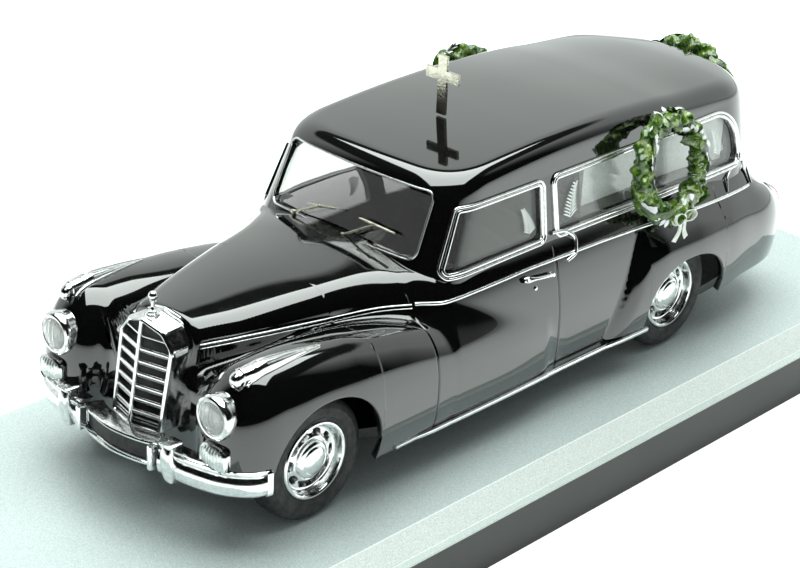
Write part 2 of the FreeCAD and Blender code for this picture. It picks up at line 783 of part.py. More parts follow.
def make_fog_lamp(outer):
    half = fog_lamp_width / 2.0
    tall = fog_lamp_height / 2.0
    x = fog_lamp_x
    y = fog_lamp_front_y
    points = [V(x - half, y, fog_lamp_z - tall), V(x + half, y, fog_lamp_z - tall)]
    points += [V(x + half, y, fog_lamp_z + tall), V(x - half, y, fog_lamp_z + tall)]
    return prism(rounded(points, [fog_lamp_corner] * 4), V(0, fog_lamp_depth, 0)).cut(outer)


def make_wing_lamp(outer):
    """Long bright lamp on the crown of the wing, tapering to a tail."""
    wires = []
    for y, half, low, high in wing_lamp_stations:
        points = [V(wing_lamp_x - half, y, low), V(wing_lamp_x + half, y, low)]
        points += [V(wing_lamp_x + half * 0.7, y, high), V(wing_lamp_x - half * 0.7, y, high)]
        wires.append(Part.makePolygon(points + [points[0]]))
    return Part.makeLoft(wires, True, True).cut(outer)


def bumper_band(points, thickness, z, height):
    """Upright band whose outer face follows arcs through the points, mirrored about X = 0."""
    (x0, y0), (x1, y1), (x2, y2) = points
    t = thickness
    edges = []
    for grow in (0.0, t):
        right = arc((x2 - grow, y2 + grow * 0.3, z), (x1 - grow * 0.6, y1 + grow, z), (x0, y0 + grow, z))
        left = arc((-x0, y0 + grow, z), (grow * 0.6 - x1, y1 + grow, z), (grow - x2, y2 + grow * 0.3, z))
        middle = line((x0, y0 + grow, z), (-x0, y0 + grow, z))
        edges.append([right, middle, left])
    ends = [line((x2, y2, z), (x2 - t, y2 + t * 0.3, z)), line((-x2, y2, z), (t - x2, y2 + t * 0.3, z))]
    wire = Part.Wire(Part.__sortEdges__(edges[0] + edges[1] + ends))
    return prism(wire, V(0, 0, height))


def make_front_bumper(outer, fog_lamp):
    band = bumper_band(front_bumper_points, bumper_thickness, bumper_z - bumper_height / 2.0, bumper_height)
    recess_y = front_bumper_points[0][1] + bumper_recess
    low, high = bumper_z - recess_height, bumper_z + recess_height
    band = band.cut(box(-recess_half, recess_half, -60, recess_y, low, high))
    for side in (1, -1):
        x = side * guard_x
        band = joined(band, [overrider(x), bumper_iron(x, *front_iron_reach)])
    return band.cut(outer).cut(fog_lamp).cut(mirrored(fog_lamp))


def bumper_iron(x, y0, y1):
    """Bracket between bumper and body."""
    return box(x - iron_half, x + iron_half, y0, y1, bumper_z - 0.5, bumper_z + 0.7)


def overrider(x):
    """Tongue-shaped guard standing in front of the bumper."""
    wires = []
    back = guard_y + guard_reach
    for dz, half, deep in guard_sections:
        z = bumper_z + dz
        points = [V(x - half, back, z), V(x + half, back, z)]
        points += [V(x + half * 0.6, back - deep, z), V(x - half * 0.6, back - deep, z)]
        wires.append(Part.makePolygon(points + [points[0]]))
    return Part.makeLoft(wires, True, True)


def make_rear_bumper(outer):
    points = [(x, -y) for x, y in rear_bumper_points]
    band = bumper_band(points, bumper_thickness, bumper_z - bumper_height / 2.0, bumper_height)
    band = band.mirror(V(0, 0, 0), V(0, 1, 0))
    for side in (1, -1):
        band = band.fuse(bumper_iron(side * rear_iron_x, *rear_iron_reach))
    return band.cut(outer)


def make_tail_lamp(outer):
    """Upright lamp at the end of the rear wing, round above and below."""
    half = tail_lamp_half
    points = [V(tail_lamp_x + x, tail_lamp_y, tail_lamp_z + z) for x, z in (
        (-half, -tail_lamp_rise), (half, -tail_lamp_rise), (half, tail_lamp_rise), (-half, tail_lamp_rise))]
    return prism(rounded(points, [half * 0.9] * 4), V(0, -tail_lamp_depth, 0)).cut(outer)


def make_door_handles(outer):
    """Curved pull handles on the two front doors and on the rear compartment's doors."""
    pulls = []
    for y, z in handle_places:
        reach = handle_half - handle_bar
        rise = handle_bar / 2.0
        bar = box(handle_x - 3.4, handle_x, y - handle_half, y + handle_half, z - rise, z + rise)
        inner = box(10.0, handle_x - 0.8, y - reach, y + reach, z - handle_bar, z + handle_bar)
        piece = bar.cut(inner).cut(outer)
        pulls += [piece, mirrored(piece)]
    return Part.makeCompound(pulls)


# ---------------------------------------------------------------- roof ornament and wreaths
def make_cross(outer):
    """Flat cross on a foot that stands on the roof."""
    half = cross_bar / 2.0
    low = roof_at_cross - 1.6
    top = roof_at_cross + cross_height
    arm_z = roof_at_cross + cross_height * cross_arm_share
    y0 = cross_y - cross_thickness / 2.0
    y1 = cross_y + cross_thickness / 2.0
    upright = box(-half, half, y0, y1, low, top)
    arms = box(-cross_span / 2.0, cross_span / 2.0, y0, y1, arm_z - half, arm_z + half)
    spread = cross_foot
    foot = box(-half - spread, half + spread, y0 - spread, y1 + spread, low, roof_at_cross + 0.4)
    return upright.fuse([arms, foot]).cut(outer)


def make_wreath(outer, centre, normal, frames):
    """Ring of leaves leaning on the body and on the frames behind it."""
    ring = Part.makeTorus(wreath_radius, wreath_thickness, V(*centre), V(*normal)).cut(outer)
    for frame in frames:
        ring = ring.cut(frame)
    return ring


# ---------------------------------------------------------------- wheels
def make_wheel(side):
    """Pressed wheel with a ring of slots and a plain domed cap, bored for its axle."""
    face = 0.0
    r = rim_radius
    a = axle_radius
    points = [(-3.6, a), (-3.6, 2.2), (-2.0, 2.2), (-1.6, 3.6), (-3.6, r - 0.5), (-3.6, r), (-0.5, r)]
    points += [(-0.25, r - 0.2), (-0.3, r - 0.5), (-0.9, r - 0.75), (-1.2, r - 1.3), (-0.75, 3.0), (-0.8, 2.5)]
    points += [(-0.35, 2.2), (-0.05, 1.5), (face, 0.9), (face, a)]
    ring = revolved_x(points, 0.0, 0.0, 0.0)
    plug = cylinder_x(a, -0.5, 0.0, 0.0, 0.0)
    wheel = ring.fuse(plug)
    for i in range(wheel_slots):
        angle = 2.0 * math.pi * i / wheel_slots
        hole_y = slot_circle * math.cos(angle)
        hole = cylinder_x(slot_radius, -6.0, 1.0, hole_y, slot_circle * math.sin(angle))
        wheel = wheel.cut(hole)
    return wheel if side > 0 else mirrored(wheel)


def make_tyre(side):
    """Tyre with rounded sides and a slightly arched tread."""
    r = rim_radius
    t = tyre_radius
    w = tyre_width
    low = t - tyre_shoulder_drop
    a = (tyre_bead - w, 0, r)
    b = (-w, 0, (r + t) / 2.0)
    c = (tyre_shoulder - w, 0, low)
    d = (-w / 2.0, 0, t)
    e = (-tyre_shoulder, 0, low)
    f = (0.0, 0, (r + t) / 2.0)
    g = (-tyre_bead, 0, r)
    wire = Part.Wire([arc(a, b, c), arc(c, d, e), arc(e, f, g), line(g, a)])
    tyre = Part.Face(wire).revolve(V(0, 0, 0), V(1, 0, 0), 360)
    return tyre if side > 0 else mirrored(tyre)


def save_wheels():
    for name, y in (("front", front_y), ("rear", rear_y)):
        reach = wheel_face_x - 0.5
        save("axle_" + name, cylinder_x(axle_radius, -reach, reach, y, hub_z))
        for side_name, side in (("left", 1), ("right", -1)):
            place = V(side * wheel_face_x, y, hub_z)
            save("wheel_%s_%s" % (name, side_name), make_wheel(side).translated(place))
            tyre_place = V(side * (wheel_face_x - tyre_inset), y, hub_z)
            save("tyre_%s_%s" % (name, side_name), make_tyre(side).translated(tyre_place))


def save_pair(name, piece):
    save(name + "_left", piece)
    save(name + "_right", mirrored(piece))


def main():
    os.makedirs("parts", exist_ok=True)
    outer = outer_body()
    space = cabin_space(fit_gap)
    save("plinth", make_plinth())
    save("mounting_screws", make_screws())
    save("chassis", make_chassis())
    save("exhaust", make_exhaust())
    save("body_shell", make_body())
    save("cab_floor", make_floor(space))
    save("front_seat", make_front_seat())
    dashboard = make_dashboard(space)
    save("dashboard", dashboard)
    save("steering_wheel", make_steering_wheel(space, dashboard))
    save("partition", make_partition(space))
    save("load_bay", make_load_bay(space))
    save("curtains", make_curtains(space))
    save("windscreen", make_glass(end_prism(windscreen_outline, -fit_gap, *screen_reach)))
    save("rear_window", make_glass(end_prism(rear_window_outline, -fit_gap, *rear_screen_reach)))
    save("windscreen_frame", make_end_frame(outer, windscreen_outline, *screen_reach))
    rear_frame = make_end_frame(outer, rear_window_outline, *rear_screen_reach)
    save("rear_window_frame", rear_frame)
    side_frames = []
    for name, outline in (("door", door_window), ("side", side_window)):
        frame = make_frame(outer, side_prism(outline, trim_width), side_prism(outline, 0.0))
        side_frames.append(frame)
        save_pair(name + "_glass", make_glass(side_prism(outline, -fit_gap)))
        save_pair(name + "_frame", frame)
    handles = make_door_handles(outer)
    belt = make_strip(outer, *belt_strip_line, strip_height).cut(handles)
    save_pair("belt_strip", belt)
    save_pair("sill_strip", make_strip(outer, *sill_strip_line, strip_height))
    save("door_handles", handles)
    radiator_shell = make_radiator_shell(outer)
    save("radiator_shell", radiator_shell)
    save("radiator_bars", make_radiator_bars(outer))
    save("radiator_ornament", make_ornament(outer, radiator_shell))
    save_pair("headlamp", make_headlamp(outer))
    save_pair("headlamp_lens", make_headlamp_lens())
    fog_lamp = make_fog_lamp(outer)
    save_pair("fog_lamp", fog_lamp)
    save_pair("wing_lamp", make_wing_lamp(outer))
    save("front_bumper", make_front_bumper(outer, fog_lamp))
    save("rear_bumper", make_rear_bumper(outer))
    save_pair("tail_lamp", make_tail_lamp(outer))
    save("cross", make_cross(outer))
    left = side_frames + [belt]
    behind = {"left": left, "right": [mirrored(f) for f in left], "rear": [rear_frame]}
    for name, centre, normal in wreath_places:
        save("wreath_" + name, make_wreath(outer, centre, normal, behind[name]))
    save_wheels()


main()
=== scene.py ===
"""Looks of the hearse model: paint, plating, glass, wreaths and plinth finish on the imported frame."""
import json
import math
import bmesh
import bpy
import numpy as np
from mathutils import Matrix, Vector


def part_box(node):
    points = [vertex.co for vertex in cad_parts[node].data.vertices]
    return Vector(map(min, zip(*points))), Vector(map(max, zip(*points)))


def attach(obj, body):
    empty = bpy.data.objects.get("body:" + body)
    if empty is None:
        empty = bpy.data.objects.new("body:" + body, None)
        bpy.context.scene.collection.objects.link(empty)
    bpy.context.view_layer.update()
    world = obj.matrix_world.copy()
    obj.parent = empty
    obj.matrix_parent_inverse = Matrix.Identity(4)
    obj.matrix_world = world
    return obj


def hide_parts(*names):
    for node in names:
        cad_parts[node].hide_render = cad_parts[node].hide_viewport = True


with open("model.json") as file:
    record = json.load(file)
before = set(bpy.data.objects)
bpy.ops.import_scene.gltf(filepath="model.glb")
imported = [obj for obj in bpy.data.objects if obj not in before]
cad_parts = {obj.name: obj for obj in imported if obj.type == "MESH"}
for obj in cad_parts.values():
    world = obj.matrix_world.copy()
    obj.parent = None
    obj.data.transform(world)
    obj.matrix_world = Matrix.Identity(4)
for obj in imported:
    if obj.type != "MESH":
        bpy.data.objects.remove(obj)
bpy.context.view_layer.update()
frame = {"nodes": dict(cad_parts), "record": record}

MM = 0.001
axle_low, axle_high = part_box("axle_front")
rear_low, rear_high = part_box("axle_rear")
ROAD_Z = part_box("plinth")[1][2]
MID_Y = (axle_low[1] + axle_high[1] + rear_low[1] + rear_high[1]) / 4.0
WHEELBASE = (rear_low[1] + rear_high[1] - axle_low[1] - axle_high[1]) / 2.0 / MM
HUB_Z = ((axle_low[2] + axle_high[2]) / 2.0 - ROAD_Z) / MM
FRONT_Y, REAR_Y = -WHEELBASE / 2.0, WHEELBASE / 2.0


def placed(points):
    """Car millimetres (x left, y to the rear, z above the road) to metres in the frame."""
    points = np.asarray(points, float)
    return points * MM + np.array([0.0, MID_Y, ROAD_Z])


# ---------------------------------------------------------------- meshes from arrays
def unit(v):
    """Vectors of any array brought to length one."""
    v = np.asarray(v, float)
    return v / np.linalg.norm(v, axis=-1, keepdims=True)


def tangents(path, closed=False):
    """Unit directions along a path, from the neighbours on both sides."""
    if closed:
        return unit(np.roll(path, -1, 0) - np.roll(path, 1, 0))
    return unit(np.gradient(path, axis=0))


def upright(flat, x, y, z):
    """Flat (across, up) outline stood across the car at a point."""
    return np.stack([x + flat[..., 0], y + 0 * flat[..., 0], z + flat[..., 1]], -1)


def level_ring(flat, x, y, z):
    """Flat (across, along) outline laid level at a point."""
    return np.stack([x + flat[..., 0], y + flat[..., 1], z + 0 * flat[..., 0]], -1)


def grid_faces(rows, cols, close_rows=False, close_cols=False):
    """Quads of a rows x cols grid of points, numbered row by row."""
    r = np.arange(rows if close_rows else rows - 1)
    c = np.arange(cols if close_cols else cols - 1)
    r, c = np.meshgrid(r, c, indexing="ij")
    r2, c2 = (r + 1) % rows, (c + 1) % cols
    quads = np.stack([r * cols + c, r2 * cols + c, r2 * cols + c2, r * cols + c2], -1)
    return quads.reshape(-1, 4)


def track(table, y):
    """Smooth curve through the table's rows (station, values...), monotone between rows."""
    rows = np.array(table, float)
    s, v = rows[:, 0], rows[:, 1:]
    h = np.diff(s)
    d = np.diff(v, axis=0) / h[:, None]
    slope = np.zeros_like(v)
    slope[0], slope[-1] = d[0], d[-1]
    w1 = 2 * h[1:, None] + h[:-1, None]
    w2 = h[1:, None] + 2 * h[:-1, None]
    with np.errstate(divide="ignore", invalid="ignore"):
        mean = (w1 + w2) / (w1 / d[:-1] + w2 / d[1:])
    slope[1:-1] = np.where(d[:-1] * d[1:] > 0, mean, 0.0)
    y = np.clip(np.asarray(y, float), s[0], s[-1])
    i = np.clip(np.searchsorted(s, y) - 1, 0, len(h) - 1)
    t = ((y - s[i]) / h[i])[..., None]
    step = h[i][..., None]
    out = (1 + 2 * t) * (1 - t) ** 2 * v[i] + t * (1 - t) ** 2 * step * slope[i]
    out = out + t * t * (3 - 2 * t) * v[i + 1] + t * t * (t - 1) * step * slope[i + 1]
    return [out[..., k] for k in range(out.shape[-1])]


def blend_max(a, b, k):
    """The larger of two fields, rounded over a width k where they are equal."""
    h = np.maximum(k - np.abs(a - b), 0) / k
    return np.maximum(a, b) + h * h * k * 0.25


def blend_min(a, b, k):
    """The smaller of two fields, rounded in the same way."""
    return -blend_max(-a, -b, k)


def root(field, low, high, steps=34):
    """Where the field changes from inside (negative) to outside between low and high, by halving."""
    for _ in range(steps):
        middle = 0.5 * (low + high)
        inside = field(middle) < 0
        low = np.where(inside, middle, low)
        high = np.where(inside, high, middle)
    return 0.5 * (low + high)


# ---------------------------------------------------------------- body forms
# y, half width at the shoulder, swell of the side, crown, fall to the side, shoulder radius
HULL = (
    (-47.0, 4.9, 0.2, 24.3, 1.0, 2.2),
    (-44.5, 5.6, 0.3, 24.5, 0.9, 2.2),
    (-38.0, 8.1, 0.3, 25.1, 1.0, 2.5),
    (-28.0, 10.9, 0.4, 26.0, 1.2, 2.8),
    (-20.0, 13.1, 0.6, 26.5, 1.5, 3.0),
    (-15.5, 15.6, 0.9, 26.8, 2.2, 3.0),
    (-12.0, 17.8, 1.4, 26.8, 2.4, 2.0),
    (0.0, 18.3, 1.5, 26.8, 2.4, 1.6),
    (20.0, 18.4, 1.5, 26.8, 2.4, 1.6),
    (38.0, 18.2, 1.4, 26.6, 2.6, 2.0),
    (50.0, 17.4, 1.3, 26.0, 3.0, 2.4),
    (58.0, 16.2, 1.2, 24.8, 3.2, 3.4),
    (64.0, 14.6, 1.2, 23.0, 4.0, 4.0),
)
# y, centre x, centre z, outer reach, inner reach, height above the centre
FRONT_WING = (
    (-50.0, 15.0, 13.2, 5.0, 6.4, 9.0),
    (-44.0, 15.2, 13.2, 5.6, 6.8, 9.5),
    (-38.0, 15.3, 13.2, 5.9, 7.4, 9.6),
    (-30.0, 15.4, 13.0, 5.9, 7.6, 9.3),
    (-22.0, 15.5, 12.6, 5.7, 7.6, 8.7),
    (-14.0, 15.6, 12.0, 5.4, 7.6, 7.7),
    (-6.0, 15.7, 11.4, 4.9, 7.6, 6.4),
    (2.0, 15.8, 10.8, 4.3, 7.6, 4.8),
    (8.0, 15.8, 10.2, 3.6, 7.6, 3.2),
)
REAR_WING = (
    (20.0, 15.0, 12.6, 3.3, 7.0, 5.0),
    (21.5, 15.0, 12.6, 5.4, 7.0, 8.2),
    (24.0, 15.0, 12.8, 6.4, 7.0, 8.4),
    (30.0, 15.0, 12.8, 6.7, 7.0, 8.6),
    (38.0, 15.0, 12.8, 6.7, 7.0, 8.5),
    (46.0, 14.9, 12.8, 6.5, 7.0, 8.2),
    (53.0, 14.4, 12.5, 6.4, 7.0, 7.6),
    (59.0, 13.8, 12.2, 6.3, 6.6, 7.0),
    (64.0, 13.2, 12.0, 6.1, 6.4, 6.6),
)
WING_POWER = 2.4
WING_DEPTH = 10.2
DOOR_TUCK = 1.4
NOSE_Y, NOSE_LENGTH = -42.0, 6.9
TAIL_Y, TAIL_LENGTH = 54.0, 10.8
REAR_LEAN = 0.47


def raised(v, n):
    """Power of a value kept above zero."""
    return np.maximum(v, 1e-9) ** n


def hull_field(x, y, z):
    """Bonnet, scuttle and doors: swelling sides met by a crowned top in a round shoulder."""
    half, swell, crown, fall, shoulder = track(HULL, y)
    ax = np.abs(x)
    low = np.where(z < 12.5, 11.5, 9.5)
    side = ax - half - swell * (1 - ((z - 12.5) / low) ** 2)
    top = (z - crown + fall * (ax / half) ** 2) * 0.95
    field = blend_max(side, top, shoulder)
    field = blend_max(field, -(y + 43.4 + 0.17 * (24.0 - z)), 0.8)
    return blend_max(field, tail_field(x, y, z), 6.0)


def tail_field(x, y, z):
    """Rear face, bowed in plan and rounded above and below."""
    back = 62.9 - 0.012 * np.maximum(np.abs(x) - 2, 0) ** 2
    back = back - 0.014 * np.maximum(z - 13, 0) ** 2 - 0.05 * np.maximum(9 - z, 0) ** 2
    return y - back


def lobe(x, y, z, table, extra):
    """Pontoon wing: a superellipse section about (x, z) with its own reach each way."""
    cx, cz, outer, inner, above = track(table, y)
    dx, dz = np.abs(x) - cx, z - cz
    reach = np.where(dx > 0, outer, inner)
    tuck = DOOR_TUCK * np.clip((y + 26.0) / 14.0, 0, 1) * np.clip((22.0 - y) / 8.0, 0, 1)
    rise = np.where(dz > 0, above, WING_DEPTH - tuck)
    total = raised(np.abs(dx) / reach, WING_POWER) + raised(np.abs(dz) / rise, WING_POWER) + extra
    return (raised(total, 1 / WING_POWER) - 1) * np.minimum(outer, above)


def front_wing_field(x, y, z):
    """Front wing's lobe, closed by a superellipse nose and fading out at the door."""
    ahead = np.maximum(NOSE_Y - y, 0) / NOSE_LENGTH * (1 + 0.007 * (z - 14.0))
    return lobe(x, y, z, FRONT_WING, raised(ahead, 2.5)) + 0.4 * np.maximum(y - 6.0, 0)


def rear_wing_field(x, y, z):
    """Rear wing's lobe with a leaning front edge and a drawn-out tail."""
    along = y - REAR_LEAN * (z - 10.0) * np.clip((34 - y) / 8.0, 0, 1)
    behind = np.maximum(y - TAIL_Y, 0) / TAIL_LENGTH
    return lobe(x, along, z, REAR_WING, raised(behind, 2.4)) + 1.2 * np.maximum(21.0 - along, 0)


def catwalk_field(x, y, z):
    """The low panel between bonnet and wings, closed in front by the valance."""
    top = z - (19.6 - 0.10 * np.maximum(-y - 38, 0) ** 1.3)
    field = blend_max(top, np.abs(x) - 12.0, 2)
    field = blend_max(field, -(y + 45.6) + 0.10 * (z - 14), 2.5)
    return blend_max(field, y + 14.0, 3)


def body_field(x, y, z):
    """Bonnet and doors, low panel and both wings, each run into the last with its own rounding."""
    field = blend_min(hull_field(x, y, z), catwalk_field(x, y, z), 1.0)
    field = blend_min(field, front_wing_field(x, y, z), 0.7 + 1.5 * np.clip((y + 27.0) / 15.0, 0, 1))
    return blend_min(field, rear_wing_field(x, y, z), 1.2)


SHUT_LINES = (-16.3, 8.6)
SHUT_DEPTH, SHUT_WIDTH = 0.22, 0.09
WALL = 0.9
SPINE_Z = 7.0
SEAM_FRONT, SEAM_REAR = -44.7, 50.0
FRONT_ARCH, REAR_ARCH = (9.0, 9.1), (8.9, 6.7)
NOSE_EDGE_Z = 8.3
SILL_Z = 5.6


def section_point(y, angle):
    """Body surface on the ray that leaves the spine (0, y, SPINE_Z) at an angle above the horizontal."""
    c, s = np.cos(angle), np.sin(angle)
    r = root(lambda r: body_field(r * c, y, SPINE_Z + r * s), 2.0 + 0 * angle, 30.0 + 0 * angle)
    return r * c, SPINE_Z + r * s


def lower_edge(y):
    """Height of the body's lower edge: sill, wheel arches, front corner and the rising tail."""
    tail = np.minimum(6.6 + 0.16 * (y - REAR_Y - REAR_ARCH[0]), 7.7)
    edge = np.where(y > REAR_Y + REAR_ARCH[0], tail, SILL_Z)
    edge = np.where(y < FRONT_Y - FRONT_ARCH[0], NOSE_EDGE_Z, edge)
    for centre, (length, height) in ((FRONT_Y, FRONT_ARCH), (REAR_Y, REAR_ARCH)):
        off = np.abs(y - centre) / length
        arch = HUB_Z + height * raised(1 - raised(np.minimum(off, 1), 2.2), 1 / 2.2)
        edge = np.where(off < 1, np.maximum(edge, arch), edge)
    return edge


def lower_angle(y):
    """Angle above the horizontal at which the section reaches the lower edge."""
    edge = lower_edge(y)
    return root(lambda a: section_point(y, a)[1] - edge, np.full_like(y, -0.35), np.full_like(y, 1.2), 26)


def body_stations():
    """Stations along the body, closer together at the wheel arches' ends and the shut lines."""
    ys = [np.linspace(SEAM_FRONT, SEAM_REAR, 200), np.linspace(SEAM_FRONT, SEAM_FRONT + 2.0, 24)]
    for centre, (length, _) in ((FRONT_Y, FRONT_ARCH), (REAR_Y, REAR_ARCH)):
        ys.append(centre + length * np.sin(np.linspace(-math.pi / 2, math.pi / 2, 61)))
        ys.append(centre + (length + 0.02) * np.array([-1.0, 1.0]))
    steps = np.array([0.0, 0.06, 0.12, 0.2, 0.32])
    ys += [line + way * steps for line in SHUT_LINES for way in (-1.0, 1.0)]
    ys = np.unique(np.round(np.concatenate(ys), 4))
    ys = ys[(ys >= SEAM_FRONT) & (ys <= SEAM_REAR)]
    return ys[np.concatenate([[True], np.diff(ys) > 0.015])]


def lower_body():
    """Grid over stations and section angles; each half section is spaced evenly along its length."""
    ys = body_stations()
    count = 130
    start = lower_angle(ys)
    share = np.linspace(0, 1, 400)
    angles = start[:, None] + (math.pi / 2 - start[:, None]) * share
    x, z = section_point(np.repeat(ys[:, None], len(share), 1), angles)
    run = np.concatenate([np.zeros((len(ys), 1)), np.cumsum(np.hypot(np.diff(x), np.diff(z)), 1)], 1)
    run /= run[:, -1:]
    even = np.linspace(0, 1, count)
    angles = np.stack([np.interp(even, run[i], angles[i]) for i in range(len(ys))])
    y = np.repeat(ys[:, None], count, 1)
    x, z = section_point(y, angles)
    groove = sum(np.exp(-((y - line) / SHUT_WIDTH) ** 2) for line in SHUT_LINES)
    x = x - SHUT_DEPTH * groove * np.clip((23.5 - z) / 0.6, 0, 1)
    half = np.stack([x, y, z], -1)
    right = half[:, ::-1][:, 1:] * np.array([-1.0, 1.0, 1.0])
    points = np.concatenate([half, right], 1)
    return points, grid_faces(*points.shape[:2])


CAP_ROWS = 48


def end_cap(section, way, reach):
    """Nose or tail beyond a seam. The seam's section shrinks towards the middle of its lower edge by
    the sine of an angle, and each point moves along the car until it meets the body's surface."""
    middle = np.array([0.0, section[0, 2]])
    share = np.sin(np.linspace(math.pi / 2, 0.02, CAP_ROWS))[:, None]
    x = middle[0] + share * (section[None, :, 0] - middle[0])
    z = middle[1] + share * (section[None, :, 2] - middle[1])
    start = section[0, 1]
    d = root(lambda d: body_field(x, start + way * d, z), 0 * x, reach + 0 * x)
    d[0] = 0.0
    points = np.stack([x, start + way * d, z], -1)
    return points, grid_faces(*points.shape[:2])


def walled(obj):
    """Give a skin its real wall, grown inwards."""
    wall = obj.modifiers.new("wall", "SOLIDIFY")
    wall.thickness = WALL * MM
    wall.offset = -1.0
    return obj


def make_lower_body():
    """Bonnet, wings, doors and tail in one skin."""
    middle, faces = lower_body()
    parts = [(middle, faces), end_cap(middle[0], -1.0, 8.0), end_cap(middle[-1], 1.0, 16.0)]
    walled(build("body_skin", parts, PAINT, replaces=("body_shell",), slot="body_shell"))


# ---------------------------------------------------------------- greenhouse and roof
# y, roof crown, fall to the roof's edge
ROOF = (
    (-14.0, 35.7, 0.3),
    (-9.0, 36.6, 0.35),
    (-5.0, 37.0, 0.35),
    (0.0, 37.4, 0.35),
    (5.0, 37.7, 0.35),
    (12.0, 38.0, 0.4),
    (22.0, 38.2, 0.6),
    (33.0, 37.9, 0.9),
    (40.0, 37.5, 1.3),
    (50.0, 36.9, 1.6),
    (56.0, 36.0, 2.2),
    (60.0, 35.0, 2.8),
)
ROOF_EDGE_X = 15.6
ROOF_ROUND = 2.4
CORNER_ROUND = 6.0


def roof_field(x, y, z):
    """Windscreen, sides and rear leaning inwards, closed by a crowned roof."""
    crown, fall = track(ROOF, y)
    ax = np.abs(x)
    side = ax - 17.5 + 0.155 * (np.minimum(z, 33.0) - 23.0) + 0.05 * np.maximum(z - 33.0, 0)
    side = side + 0.0010 * np.maximum(y - 30, 0) ** 2
    front = -y - 14.3 + 0.41 * (z - 26.6) + 0.7 * (ax / 13.0) ** 2
    rear = y - 59.7 + 0.007 * np.maximum(z - 24, 0) ** 2 + 0.012 * ax ** 2
    walls = blend_max(blend_max(side, front, CORNER_ROUND), rear, 7.0)
    top = (z - crown + fall * (ax / ROOF_EDGE_X) ** 2.4) * 0.97
    return blend_max(walls, top, ROOF_ROUND)


MIDDLE_Y = 12.0
GREENHOUSE_Z = 22.0
SPINE_FRONT, SPINE_REAR = 6.0, 42.0


def greenhouse_ray(u, v):
    """Surface point seen from the spine between SPINE_FRONT and SPINE_REAR. u runs round the spine
    (0-1 left side to the rear, 1-2 round the back, 2-3 right side forward, 3-4 round the front), v is
    the angle above the horizontal."""
    part = np.clip(u, 0, 1)
    back = np.clip(u - 1, 0, 1)
    right = np.clip(u - 2, 0, 1)
    front = np.clip(u - 3, 0, 1)
    oy = SPINE_FRONT + (SPINE_REAR - SPINE_FRONT) * (part - right)
    turn = math.pi * (back + front)
    c, s = np.cos(turn) * np.cos(v), np.sin(turn) * np.cos(v)
    up = np.sin(v)
    r = root(lambda r: roof_field(r * c, oy + r * s, GREENHOUSE_Z + r * up), 1.0 + 0 * u, 40.0 + 0 * u)
    return np.stack([r * c, oy + r * s, GREENHOUSE_Z + r * up], -1)


def normal(field, p):
    """Unit normals of a field at points, from central differences."""
    steps = 0.02 * np.eye(3)
    rise = [field(*np.moveaxis(p + e, -1, 0)) - field(*np.moveaxis(p - e, -1, 0)) for e in steps]
    return unit(np.stack(rise, -1))


def on_side(field, y, z, level=0.0):
    """Point of the field's surface on the car's left side at a given y and z."""
    y, z = np.broadcast_arrays(np.asarray(y, float), np.asarray(z, float))
    x = root(lambda x: field(x, y, z) - level, 4.0 + 0 * y, 26.0 + 0 * y)
    return np.stack([x, y, z], -1)


def on_end(field, x, z, way, level=0.0):
    """Point of the field's surface in front (way -1) or behind (way 1) at a given x and z."""
    x, z = np.broadcast_arrays(np.asarray(x, float), np.asarray(z, float))
    d = root(lambda d: field(x, MIDDLE_Y + way * d, z) - level, 4.0 + 0 * x, 60.0 + 0 * x)
    return np.stack([x, MIDDLE_Y + way * d, z], -1)


def round_outline(corners, per=14, sides=26):
    """Closed outline with rounded corners from (a, b, radius) rows, spaced along arcs and lines."""
    pts = np.array([c[:2] for c in corners], float)
    count = len(pts)
    arcs = []
    for i in range(count):
        here = pts[i]
        a, b = unit(pts[i - 1] - here), unit(pts[(i + 1) % count] - here)
        half = math.acos(float(np.clip(a @ b, -1, 1))) / 2
        r = corners[i][2]
        centre = here + unit(a + b) * r / math.sin(half)
        p, q = (here + side * r / math.tan(half) - centre for side in (a, b))
        turn = math.atan2(p[0] * q[1] - p[1] * q[0], p @ q)
        t = np.linspace(0, turn, per)[:, None]
        arcs.append(centre + p * np.cos(t) + np.stack([-p[1], p[0]]) * np.sin(t))
    share = np.linspace(0, 1, sides + 1)[1:-1, None]
    lines = [a[-1] + (b[0] - a[-1]) * share for a, b in zip(arcs, arcs[1:] + arcs[:1])]
    return np.concatenate([part for both in zip(arcs, lines) for part in both])


def grown(outline, grow):
    """Closed outline moved outward along its own normals."""
    t = tangents(outline, closed=True)
    n = np.stack([t[:, 1], -t[:, 0]], 1)
    n *= np.sign(np.sum(n * (outline - outline.mean(0)), 1)).mean() or 1.0
    return outline + n * grow


def sweep(path, up, width, height, closed=False, around=10, lift=0.0, flat=0.75):
    """Strip along a path: a rounded section of given width and height standing on the surface whose
    normals are up. The section is the upper half of a superellipse closed below."""
    path, up = np.asarray(path, float), np.asarray(up, float)
    across = unit(np.cross(tangents(path, closed), up))
    a = np.linspace(0, math.pi, around)
    c = np.concatenate([np.sign(np.cos(a)) * np.abs(np.cos(a)) ** flat, [-1.0, 1.0]])
    h = np.concatenate([np.sin(a) ** flat, [-0.35, -0.35]])
    width, height = np.broadcast_to(width, len(path)), np.broadcast_to(height, len(path))
    ring = path[:, None] + across[:, None] * (c[None, :, None] * width[:, None, None] / 2)
    ring = ring + up[:, None] * (h[None, :, None] * height[:, None, None] + lift)
    if closed:
        return ring, grid_faces(*ring.shape[:2], close_rows=True, close_cols=True)
    return stacked(ring)


def joined(parts):
    """Concatenate (points, faces) pairs whose faces may have different lengths."""
    points, faces, count = [], [], 0
    for p, f in parts:
        p = np.asarray(p, float).reshape(-1, 3)
        points.append(p)
        faces += [[int(k) + count for k in face] for face in (f.tolist() if hasattr(f, "tolist") else f)]
        count += len(p)
    return np.concatenate(points), faces


